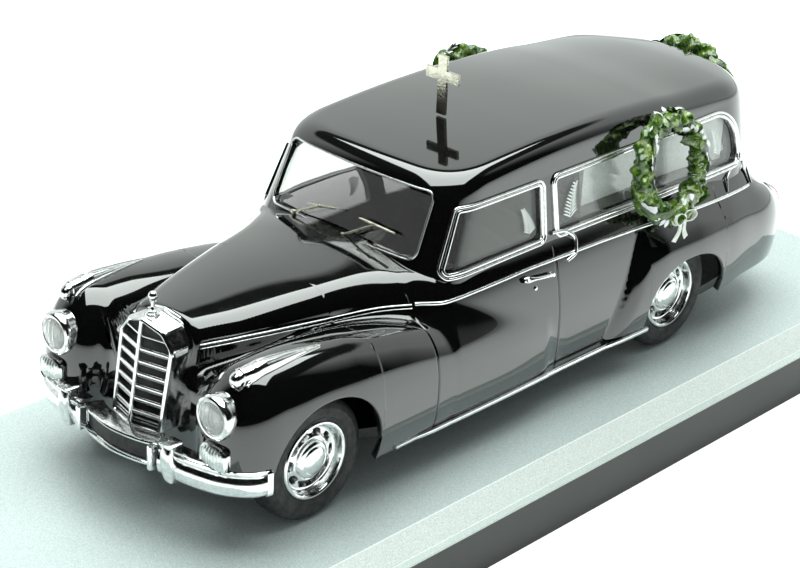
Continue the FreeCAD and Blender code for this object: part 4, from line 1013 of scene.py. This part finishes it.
def make_wreath(name, centre, face, seed):
    """Moulded ring of leaf clumps, with blossoms and a bow with two tails below. A point of the ring at
    turn t and girth g lies r cos g out from the ring's line and 0.85 r sin g in front of it."""
    centre, face = np.array(centre), unit(face)
    side = unit(np.cross((0.0, 0.0, 1.0), face))
    top = np.cross(face, side)

    def ring_point(t, g, r):
        """Point at angle t round the taller-than-wide ring and angle g round its tube of radius r."""
        wide = (WREATH_RING + r * np.cos(g))[..., None]
        flat = wide * (np.cos(t)[..., None] * side + WREATH_TALL * np.sin(t)[..., None] * top)
        return centre + flat + (0.85 * r * np.sin(g))[..., None] * face

    def sprigs(t, g, reach, swing, lift, length, width):
        """Leaves standing on the ring, each swung from the ring's line and lifted off its skin."""
        out = np.cos(t)[:, None] * side + np.sin(t)[:, None] * top
        skin = np.cos(g)[:, None] * out + np.sin(g)[:, None] * face
        tangent = -np.sin(t)[:, None] * side + np.cos(t)[:, None] * top
        along = tangent * np.cos(swing)[:, None] + np.cross(skin, tangent) * np.sin(swing)[:, None]
        foot = ring_point(t, g, WREATH_TUBE * reach)
        return leaves(foot, unit(along + skin * lift[:, None]), skin, length, width)

    turn = np.linspace(0, 2 * math.pi, 180, endpoint=False)
    girth = np.linspace(0, 2 * math.pi, 28, endpoint=False)
    tt, gg = np.meshgrid(turn, girth, indexing="ij")
    lump = (0.17 * np.sin(11 * tt + 2 * gg + seed) + 0.13 * np.sin(17 * tt - 3 * gg)
            + 0.12 * np.sin(29 * tt + gg * 4))
    core = (ring_point(tt, gg, WREATH_TUBE * (0.92 + lump)), grid_faces(*tt.shape, True, True))

    def some(k, shift=0.0, count=330):
        """Numbers from 0 to 1 scattered by the wreath's own seed, one for each leaf."""
        return scatter(count, k, seed + shift)

    foliage = sprigs(2 * math.pi * some(1.0), -0.5 + (math.pi + 1.0) * some(3.0, 0.5), 0.82 + 0.2 * some(7.0),
                     (some(5.0) - 0.5) * 2.6, 0.35 + 0.4 * some(11.0), 1.2 + 0.7 * some(13.0),
                     0.5 + 0.2 * some(17.0))
    build(name + "_leaves", [core, foliage], LEAF, replaces=(name,), slot="wreath", smooth=50)

    def few(k, shift=0.0):
        """The same for the fewer blossoms."""
        return some(k, shift, 44)

    petals = sprigs(2 * math.pi * few(1.0, 2), -0.1 + 2.7 * few(3.0, 1), 1.02 + 0 * few(1.0),
                    (few(5.0) - 0.5) * 6.0, 0.3 + 0 * few(1.0), 0.9 + 0.9 * few(7.0), 0.3 + 0.22 * few(11.0))
    build(name + "_blossoms", [petals], BLOSSOM, slot="wreath", smooth=50)
    knot = centre - (WREATH_RING * WREATH_TALL + 0.5) * top + 1.5 * face
    ribbons = []
    s = np.linspace(0, 1, 40)
    loop = 2 * math.pi * s
    for way in (-1.0, 1.0):
        flat = knot + side * (way * 1.15 * (1 - np.cos(loop)))[:, None] + top * (0.75 * np.sin(loop))[:, None]
        flat = flat + face * (0.35 * np.sin(loop / 2))[:, None]
        ribbons.append(ribbon(flat, face + 0.25 * top, 0.95 - 0.45 * np.abs(np.cos(loop / 2))))
        tail = knot + side * (way * (0.25 + 1.1 * s ** 1.3))[:, None] - top * (3.3 * s)[:, None]
        tail = tail + face * (0.2 * np.sin(5 * s + way) - 0.7 * s)[:, None]
        ribbons.append(ribbon(tail, np.cross(side, top), 0.6 + 0.35 * s, True))
    bulge = ((-0.35, 0.3, 0.35), (0.1, 0.48, 0.55), (0.4, 0.4, 0.45), (0.5, 0.15, 0.2))
    ribbons.append(stacked([knot + face * h + oval(a, b, 2.6, 18) @ np.array([side, top])
                            for h, a, b in bulge]))
    build(name + "_bow", ribbons, RIBBON, slot="wreath", smooth=50)


def ribbon(path, towards, width, hanging=False):
    """Thin band along a path; a band that hangs is spread across, and a loop is spread towards."""
    t = tangents(path)
    side = unit(np.cross(t, towards))
    wide = side if hanging else np.cross(side, t)
    thin = 0.05 * np.cross(t, wide)
    half = wide * np.broadcast_to(width, len(path))[:, None] / 2
    corners = [path + half + thin, path - half + thin, path - half - thin, path + half - thin]
    return stacked(np.stack(corners, 1))


# ---------------------------------------------------------------- small trim
def make_wipers():
    """Two blades lying on the windscreen, each on a short arm from a pivot at its foot."""
    parts = []
    knob = turned([(0.34, -0.2), (0.36, 0.35), (0.3, 0.5), (0.12, 0.58), (0.01, 0.6)], 18)
    clip = turned([(0.2, 0.1), (0.24, 0.6), (0.18, 0.72), (0.01, 0.74)], 14)
    for blade, arm in ((((-5.9, 28.2), (-0.7, 29.1)), ((-8.0, 26.5), (-3.6, 28.55))),
                       (((3.3, 29.1), (9.3, 28.9)), ((1.4, 26.4), (6.0, 29.0)))):
        for (start, stop), width, tall, lift in ((blade, 0.34, 0.3, 0.16), (arm, 0.26, 0.22, 0.42)):
            s = np.linspace(0, 1, 24)
            path = front_place(*(start[k] + (stop[k] - start[k]) * s for k in (0, 1)))
            taper = 1 - 0.3 * np.abs(2 * s - 1) ** 3
            parts.append(sweep(path, normal(roof_field, path), width * taper, tall, lift=lift))
        for spot, fitting in zip(arm, (knob, clip)):
            foot = front_place(*spot)
            parts.append(aimed(fitting, foot, normal(roof_field, foot), (0, 1, 0)))
    build("wipers", parts, BRASS, slot="steel")


def make_handles():
    """Pull handle: a bar standing off the door between two feet, thinner behind, with a lock below it."""
    y0, z0 = 4.6, 20.6
    s = np.linspace(0, 1, 40)
    path = on_side(skin_field, y0 - 2.9 + 5.8 * s, z0 + 0.35 - 0.75 * s)
    up = normal(skin_field, path)
    stand = 0.75 * np.sin(math.pi * np.clip(s, 0.02, 0.98)) ** 0.45
    width = 0.5 + 0.42 * np.exp(-((s - 0.12) / 0.12) ** 2) + 0.2 * np.exp(-((s - 0.9) / 0.08) ** 2)
    parts = [sweep(path + up * (stand - 0.15)[:, None], up, width, 0.42, around=14)]
    foot = turned([(0.4, -0.3), (0.42, 0.16), (0.3, 0.28), (0.26, 0.8)], 20)
    parts += [aimed(foot, path[k], up[k]) for k in (3, 36)]
    lock = turned([(0.26, -0.3), (0.28, 0.14), (0.2, 0.2), (0.01, 0.2)], 18)
    spot = on_side(skin_field, y0 - 0.6, z0 - 1.35)
    parts.append(aimed(lock, spot, normal(skin_field, spot)))
    plated("door_pulls", parts, ("door_handles",), mirror=True)


def side_sweep(rows, width, height):
    """Strip on the car's side along the smooth curve through (share, y, z) rows."""
    path = on_side(skin_field, *smooth_path(rows, 60).T)
    return sweep(path, normal(skin_field, path), width, height, around=12)


def make_side_trim():
    """Bonnet's twin lines, curls at both ends of the long window, and the pillar strips."""
    marks, levels = (-43.2, -38.0, -32.0, -24.0, -16.0), np.array([22.0, 22.2, 22.15, 22.05, 22.0])
    parts = [side_run(marks, levels - below, width, 0.2, hull_field, 0.08, 130)
             for below, width in ((0.0, 0.22), (0.48, 0.18))]
    parts += [side_sweep(rows, width, height) for rows, width, height in (
        (((0, 8.7, 25.2), (0.3, 11.0, 24.9), (0.6, 12.9, 23.4), (0.85, 12.4, 21.6), (1, 10.6, 21.1)),
         0.55, 0.4),
        (((0, 51.6, 24.2), (0.35, 53.3, 23.6), (0.7, 54.3, 21.8), (1, 54.4, 19.9)), 0.6, 0.4),
        (((0, 51.2, 24.0), (0.4, 49.2, 23.2), (0.75, 47.9, 21.8), (1, 47.6, 20.6)), 0.3, 0.22))]
    plated("side_brightwork", parts, mirror=True)


def make_etching():
    """Traditional palm fronds frosted on the side panes: a bowed stem with leaflets on both sides."""
    parts = []

    def frost(y, z, width):
        """One frosted stroke just above the pane, through (y, z) points."""
        path = side_place(y, z, -0.42)
        parts.append(sweep(path, normal(roof_field, path), width, 0.03, around=5))

    t = np.linspace(0, 1, 6)
    for y0, z0, way, size in ((13.2, 25.6, 1.0, 1.0), (47.2, 25.7, -1.0, 0.9), (5.2, 25.7, -1.0, 0.8)):
        s = np.linspace(0, 1, 12)[1:]
        stem_y = y0 + way * size * 1.4 * s ** 1.8
        stem_z = z0 + size * 4.6 * s
        for share, y, z in zip(s, stem_y, stem_z):
            reach = size * (1.9 - 1.2 * share) * t
            for side in (-1.0, 1.0):
                frost(y + way * 0.15 + side * reach * 0.8, z + reach * (0.55 + 0.35 * share) - 0.3 * t ** 2,
                      size * 0.26 * np.sin(math.pi * (0.08 + 0.84 * t)))
        frost(stem_y, stem_z, 0.14)
    build("etched_fronds", parts, FROST, mirror=True, slot="glass")


# ---------------------------------------------------------------- materials
def finish(name, **sockets):
    """New finish with numbers or colours set on the shader's own sockets (a space written as _)."""
    mat = bpy.data.materials.new(name)
    mat.use_nodes = True
    shader = mat.node_tree.nodes["Principled BSDF"].inputs
    for socket, value in sockets.items():
        shader[socket.replace("_", " ")].default_value = value
    return mat, mat.node_tree, shader


def add(tree, kind, inputs=(), **settings):
    """New node with its settings. Each input is a number, or a socket to link it to."""
    node = tree.nodes.new("ShaderNode" + kind)
    for key, value in settings.items():
        setattr(node, key, value)
    for key, value in inputs:
        if isinstance(value, bpy.types.NodeSocket):
            tree.links.new(value, node.inputs[key])
        else:
            node.inputs[key].default_value = value
    return node


def noise(tree, scale, detail=3.0, rough=0.5):
    """Noise in object space; scale is per metre."""
    coords = add(tree, "TexCoord").outputs["Object"]
    inputs = (("Scale", scale), ("Detail", detail), ("Roughness", rough), ("Vector", coords))
    return add(tree, "TexNoise", inputs).outputs["Fac"]


def spread(tree, value, low, high, to_low, to_high):
    """Value mapped from one range to another, held at the ends."""
    keys = ("Value", "From Min", "From Max", "To Min", "To Max")
    return add(tree, "MapRange", zip(keys, (value, low, high, to_low, to_high))).outputs["Result"]


def tint(tree, value, *stops):
    """Colour from a value through (place, colour) stops."""
    ramp = add(tree, "ValToRGB", (("Fac", value),))
    first, last = ramp.color_ramp.elements
    for element, (place, colour) in ((first, stops[0]), (last, stops[-1])):
        element.position, element.color = place, (*colour, 1)
    for place, colour in stops[1:-1]:
        ramp.color_ramp.elements.new(place).color = (*colour, 1)
    return ramp.outputs["Color"]


def bump(tree, shader, value, distance, strength):
    """Fine relief from a value."""
    node = add(tree, "Bump", (("Distance", distance), ("Strength", strength), ("Height", value)))
    tree.links.new(node.outputs["Normal"], shader["Normal"])


def paint_finish():
    """Deep black lacquer over a wavy casting, with a few dust nibs under the clear coat."""
    mat, tree, shader = finish("black_lacquer", Specular_IOR_Level=0.62, Coat_Weight=1.0,
                               Coat_Roughness=0.015, Coat_IOR=1.55)
    dust = spread(tree, noise(tree, 2600.0, 1.0), 0.80, 0.86, 0.0, 1.0)
    colour = tint(tree, dust, (0.0, (0.0022, 0.0022, 0.0024)), (1.0, (0.02, 0.02, 0.02)))
    tree.links.new(colour, shader["Base Color"])
    tree.links.new(spread(tree, noise(tree, 500.0), 0.3, 0.8, 0.045, 0.10), shader["Roughness"])
    bump(tree, shader, noise(tree, 220.0, 2.0), 0.00001, 0.5)
    return mat


def chrome_finish():
    """Bright vacuum plating with slight ripples and duller pits."""
    mat, tree, shader = finish("plating", Metallic=1.0)
    fac = noise(tree, 1800.0, 4.0)
    shades = ((0.3, (0.70, 0.71, 0.71)), (0.55, (0.90, 0.91, 0.91)), (0.8, (0.95, 0.955, 0.96)))
    tree.links.new(tint(tree, fac, *shades), shader["Base Color"])
    tree.links.new(spread(tree, fac, 0.3, 0.75, 0.19, 0.07), shader["Roughness"])
    bump(tree, shader, noise(tree, 900.0, 3.0), 0.00004, 0.6)
    return mat


def mottled(name, low, high, roughness, scale, metallic=0.0, grain=0.00003):
    """Two shades mottled over each other, with matching roughness and a fine grain."""
    mat, tree, shader = finish(name, Metallic=metallic)
    fac = noise(tree, scale, 4.0, 0.6)
    tree.links.new(tint(tree, fac, (0.35, low), (0.65, high)), shader["Base Color"])
    tree.links.new(spread(tree, fac, 0.3, 0.7, roughness * 1.15, roughness * 0.8), shader["Roughness"])
    bump(tree, shader, noise(tree, scale * 3.1, 3.0), grain, 0.7)
    return mat


def leaf_finish():
    """Glossy moulded foliage: dark hollows, mid greens and pale tips."""
    mat, tree, shader = finish("wreath_foliage", Coat_Weight=0.6, Coat_Roughness=0.12)
    fac = noise(tree, 700.0, 3.0, 0.65)
    shades = ((0.36, (0.005, 0.022, 0.002)), (0.48, (0.030, 0.085, 0.005)), (0.58, (0.09, 0.17, 0.012)),
              (0.68, (0.34, 0.42, 0.20)))
    tree.links.new(tint(tree, fac, *shades), shader["Base Color"])
    tree.links.new(spread(tree, fac, 0.3, 0.7, 0.24, 0.10), shader["Roughness"])
    bump(tree, shader, noise(tree, 2400.0), 0.0001, 0.5)
    return mat


def glass_finish():
    """Thin clear pane with a trace of surface haze."""
    mat, tree, shader = finish("clear_glazing", Base_Color=(0.95, 0.97, 0.96, 1), Transmission_Weight=1.0,
                               IOR=1.18, Coat_Weight=1.0, Coat_Roughness=0.01)
    tree.links.new(spread(tree, noise(tree, 300.0), 0.3, 0.8, 0.0, 0.03), shader["Roughness"])
    return mat


def lens_finish():
    """Moulded lamp glass, faintly milky, with upright flutes."""
    mat, tree, shader = finish("lamp_lens", Base_Color=(0.93, 0.95, 0.94, 1), Roughness=0.08,
                               Transmission_Weight=0.8, IOR=1.3, Coat_Weight=1.0)
    coords = add(tree, "TexCoord").outputs["Object"]
    wave = add(tree, "TexWave", (("Scale", 380.0), ("Distortion", 0.0), ("Vector", coords)))
    bump(tree, shader, wave.outputs["Fac"], 0.00008, 0.6)
    return mat


def plinth_finish():
    """Silver-grey metallic lacquer, paler on the bevel and ledge, with the wall below left black. The bevel's
    paler colour is a painted reflection, and the two thin bright lines at the bevel's top and bottom edges
    are painted highlights.
    """
    mat, tree, shader = finish("plinth_finish")
    speck = noise(tree, 5200.0, 2.0, 0.7)
    silver = tint(tree, speck, (0.30, (0.80, 0.80, 0.80)), (0.52, (1.0, 1.0, 1.0)),
                  (0.72, (1.22, 1.22, 1.22)))
    split = add(tree, "SeparateXYZ", (("Vector", add(tree, "TexCoord").outputs["Object"]),))
    height = spread(tree, split.outputs["Z"], 0.0060, 0.0090, 0.0, 1.0)
    # Height zones: black wall, silver ledge, a painted highlight line (edge), the bevel painted paler as a
    # painted reflection, a second painted highlight line, then the silver top.
    wall, ledge, edge = (0.014, 0.015, 0.015), (0.49, 0.55, 0.53), (0.80, 0.84, 0.82)
    bevel_with_painted_reflection, top = (0.58, 0.62, 0.605), (0.48, 0.545, 0.545)
    zones = tint(tree, height, (0.0, wall), (0.145, wall), (0.155, ledge), (0.235, ledge), (0.25, edge),
                 (0.275, bevel_with_painted_reflection), (0.925, bevel_with_painted_reflection), (0.945, edge), (0.965, top), (1.0, top))
    mix = add(tree, "Mix", data_type="RGBA", blend_type="MULTIPLY")
    mix.inputs["Factor"].default_value = 1.0
    tree.links.new(zones, mix.inputs["A"])
    tree.links.new(silver, mix.inputs["B"])
    tree.links.new(mix.outputs["Result"], shader["Base Color"])
    tree.links.new(spread(tree, height, 0.145, 0.16, 0.0, 0.25), shader["Metallic"])
    tree.links.new(spread(tree, noise(tree, 60.0, 2.0), 0.3, 0.7, 0.44, 0.38), shader["Roughness"])
    bump(tree, shader, speck, 0.00002, 0.5)
    return mat


PAINT = paint_finish()
CHROME = chrome_finish()
GLASS = glass_finish()
LENS = lens_finish()
TYRE = mottled("tyre_rubber", (0.012, 0.012, 0.012), (0.022, 0.022, 0.023), 0.62, 900.0)
DARK = mottled("dark_inside", (0.012, 0.011, 0.011), (0.035, 0.03, 0.03), 0.6, 500.0)
CHASSIS = mottled("chassis_black", (0.008, 0.008, 0.009), (0.02, 0.02, 0.021), 0.45, 700.0)
SEAT = mottled("seat_oxblood", (0.022, 0.007, 0.007), (0.05, 0.016, 0.015), 0.6, 800.0, grain=0.00008)
BAY = mottled("bay_lining", (0.60, 0.63, 0.62), (0.74, 0.77, 0.76), 0.6, 400.0)
LEAF = leaf_finish()
FLUTED = mottled("fluted_glass", (0.62, 0.66, 0.65), (0.82, 0.86, 0.85), 0.14, 900.0, metallic=0.75)
BULB = mottled("bulb_grey", (0.22, 0.24, 0.23), (0.34, 0.36, 0.35), 0.4, 900.0)
BLOSSOM = mottled("blossom_white", (0.72, 0.74, 0.78), (0.86, 0.87, 0.9), 0.3, 1500.0)
RIBBON = mottled("ribbon_white", (0.62, 0.68, 0.58), (0.86, 0.88, 0.84), 0.35, 900.0)
PLINTH = plinth_finish()
CLOTH = mottled("curtain_cloth", (0.74, 0.78, 0.77), (0.86, 0.90, 0.88), 0.85, 3000.0, grain=0.0001)
BRASS = mottled("pale_brass", (0.62, 0.58, 0.44), (0.82, 0.79, 0.66), 0.28, 1200.0, metallic=1.0)
NICKEL = mottled("cross_metal", (0.50, 0.49, 0.40), (0.72, 0.70, 0.60), 0.22, 900.0, metallic=1.0)
RED = mottled("tail_red", (0.30, 0.006, 0.006), (0.42, 0.015, 0.012), 0.12, 500.0)
FROST = mottled("frosted_glass", (0.70, 0.74, 0.73), (0.85, 0.88, 0.87), 0.5, 2500.0)
STEEL = mottled("screw_steel", (0.35, 0.35, 0.36), (0.55, 0.55, 0.56), 0.3, 1500.0, metallic=1.0)
# Near-black finish; on the wheels it is the painted shade in the slots' floors.
# On the front bumper's middle, the same near-black finish is a painted reflection.
GRILLE_DARK = mottled("grille_dark", (0.004, 0.004, 0.004), (0.010, 0.010, 0.011), 0.5, 800.0)
SLOT_FINISH = {
    "plinth": PLINTH, "chassis": CHASSIS, "mounting_screws": STEEL, "exhaust": STEEL, "body_shell": PAINT,
    "cab_floor": DARK, "front_seat": SEAT, "dashboard": DARK, "steering_wheel": DARK, "partition": DARK,
    "load_bay": BAY, "curtains": CLOTH, "steel": CHROME, "glass": GLASS, "lamp_glass": LENS,
    "tail_lamp": RED, "cross": NICKEL, "wreath": LEAF, "tyre": TYRE, "axle": STEEL,
}


def dress_nodes():
    """Give every CAD node the finish of its material slot."""
    for row in frame["record"]["subparts"]:
        mesh = frame["nodes"][row["node"]].data
        mesh.materials.clear()
        mesh.materials.append(SLOT_FINISH[row["material_slot"]])


# ---------------------------------------------------------------- stage
CAMERA_CAR = (182.1475, -198.8291, 141.9382)
CAMERA_TURN = 42.7323
CAMERA_TILT = 25.33
CAMERA_ROLL = 2.48
CAMERA_FOCUS = 2180.84 / 800.0 * 36.0


def make_camera():
    """Camera at its place, turned about the vertical, tilted down and rolled about its own axis."""
    data = bpy.data.cameras.new("camera")
    data.sensor_width = 36.0
    data.lens = CAMERA_FOCUS
    data.clip_start = 0.005
    camera = shown("camera", data)
    az, el, roll = (math.radians(a) for a in (CAMERA_TURN, CAMERA_TILT, CAMERA_ROLL))
    back = np.array([math.sin(az) * math.cos(el), -math.cos(az) * math.cos(el), math.sin(el)])
    right = np.array([math.cos(az), math.sin(az), 0.0])
    up = np.cross(back, right)
    right, up = right * math.cos(roll) + up * math.sin(roll), up * math.cos(roll) - right * math.sin(roll)
    turn = Matrix(np.array([right, up, back]).T.tolist()).to_4x4()
    camera.matrix_world = Matrix.Translation(placed(CAMERA_CAR).tolist()) @ turn
    bpy.context.scene.camera = camera


FLOOR_HALF = 3.0
FLOOR_LIFT = 0.45
ROOM_DARK, ROOM_WHITE, ROOM_FILL = 0.03, 0.92, 0.60
AWAY = (-0.68, 0.73, 0.0)
TINT = (0.93, 1.0, 0.965)
SOFTBOX_PLACE, SOFTBOX_SPIN = (-0.095, 0.085, 0.62), 43.0
SOFTBOX_SIZE, SOFTBOX_WATTS = 0.66, 8.0


def make_softbox():
    """Square light facing down, turned about the vertical."""
    data = bpy.data.lights.new("overhead", "AREA")
    data.shape = "RECTANGLE"
    data.size = data.size_y = SOFTBOX_SIZE
    data.energy = SOFTBOX_WATTS
    data.color = TINT
    lamp = shown("overhead", data)
    lamp.rotation_euler = (0.0, 0.0, math.radians(SOFTBOX_SPIN))
    lamp.location = SOFTBOX_PLACE


def floor_finish():
    """Pale matt sheet. The camera sees it lifted towards white, and it keeps the shadows."""
    mat, tree, shader = finish("floor_pale", Roughness=0.9, Emission_Color=(1, 1, 1, 1))
    fac = noise(tree, 9.0, 2.0)
    colour = tint(tree, fac, (0.3, (0.86, 0.865, 0.865)), (0.7, (0.90, 0.90, 0.90)))
    tree.links.new(colour, shader["Base Color"])
    seen = add(tree, "LightPath").outputs["Is Camera Ray"]
    tree.links.new(spread(tree, seen, 0.0, 1.0, 0.0, FLOOR_LIFT), shader["Emission Strength"])
    return mat


def make_world():
    """White behind the object, a darker room on the camera's side, and white for camera and glass."""
    world = bpy.data.worlds.new("studio")
    bpy.context.scene.world = world
    world.use_nodes = True
    tree = world.node_tree
    way = add(tree, "TexCoord").outputs["Generated"]
    dot = add(tree, "VectorMath", ((0, way), (1, AWAY)), operation="DOT_PRODUCT")
    behind = spread(tree, dot.outputs["Value"], 0.05, 0.25, 0.0, 1.0)
    rise = add(tree, "SeparateXYZ", (("Vector", way),)).outputs["Z"]
    below = spread(tree, rise, 0.64, 0.67, ROOM_WHITE, ROOM_DARK)
    gate = add(tree, "Math", ((0, behind), (1, below)), operation="MULTIPLY").outputs[0]
    fill, room, white = (add(tree, "Background", (("Color", (*colour, 1)), ("Strength", strength))).outputs[0]
                         for colour, strength in ((TINT, ROOM_FILL), (TINT, gate), ((1, 1, 1), 1.0)))
    ray = add(tree, "LightPath").outputs
    either = add(tree, "Math", ((0, ray["Is Camera Ray"]), (1, ray["Is Transmission Ray"])),
                 operation="MAXIMUM")
    glossy = add(tree, "MixShader", ((0, ray["Is Glossy Ray"]), (1, fill), (2, room))).outputs[0]
    final = add(tree, "MixShader", ((0, either.outputs[0]), (1, glossy), (2, white))).outputs[0]
    tree.links.new(final, tree.nodes["World Output"].inputs[0])


def make_stage():
    """Floor, lamp and room, seen without any tone curve."""
    mesh = bpy.data.meshes.new("floor")
    corners = [(x * FLOOR_HALF, y * FLOOR_HALF, 0) for x, y in ((-1, -1), (1, -1), (1, 1), (-1, 1))]
    mesh.from_pydata(corners, [], [(0, 1, 2, 3)])
    mesh.materials.append(floor_finish())
    shown("floor", mesh)
    bpy.context.scene.view_settings.view_transform = "Standard"
    make_world()
    make_softbox()


for step in (dress_nodes, make_lower_body, make_roof, make_windows, make_strips, make_radiator,
             make_ornament, make_headlamps, make_fog_lamps, make_wing_lamps, make_front_bumper,
             make_rear_bumper, make_tail_lamps):
    step()
for end, hub_y in (("front", FRONT_Y), ("rear", REAR_Y)):
    make_wheels(end, hub_y)
    make_tyres(end, hub_y)
for wreath in WREATHS:
    make_wreath(*wreath)
for step in (make_wipers, make_handles, make_side_trim, make_etching, make_camera, make_stage):
    step()
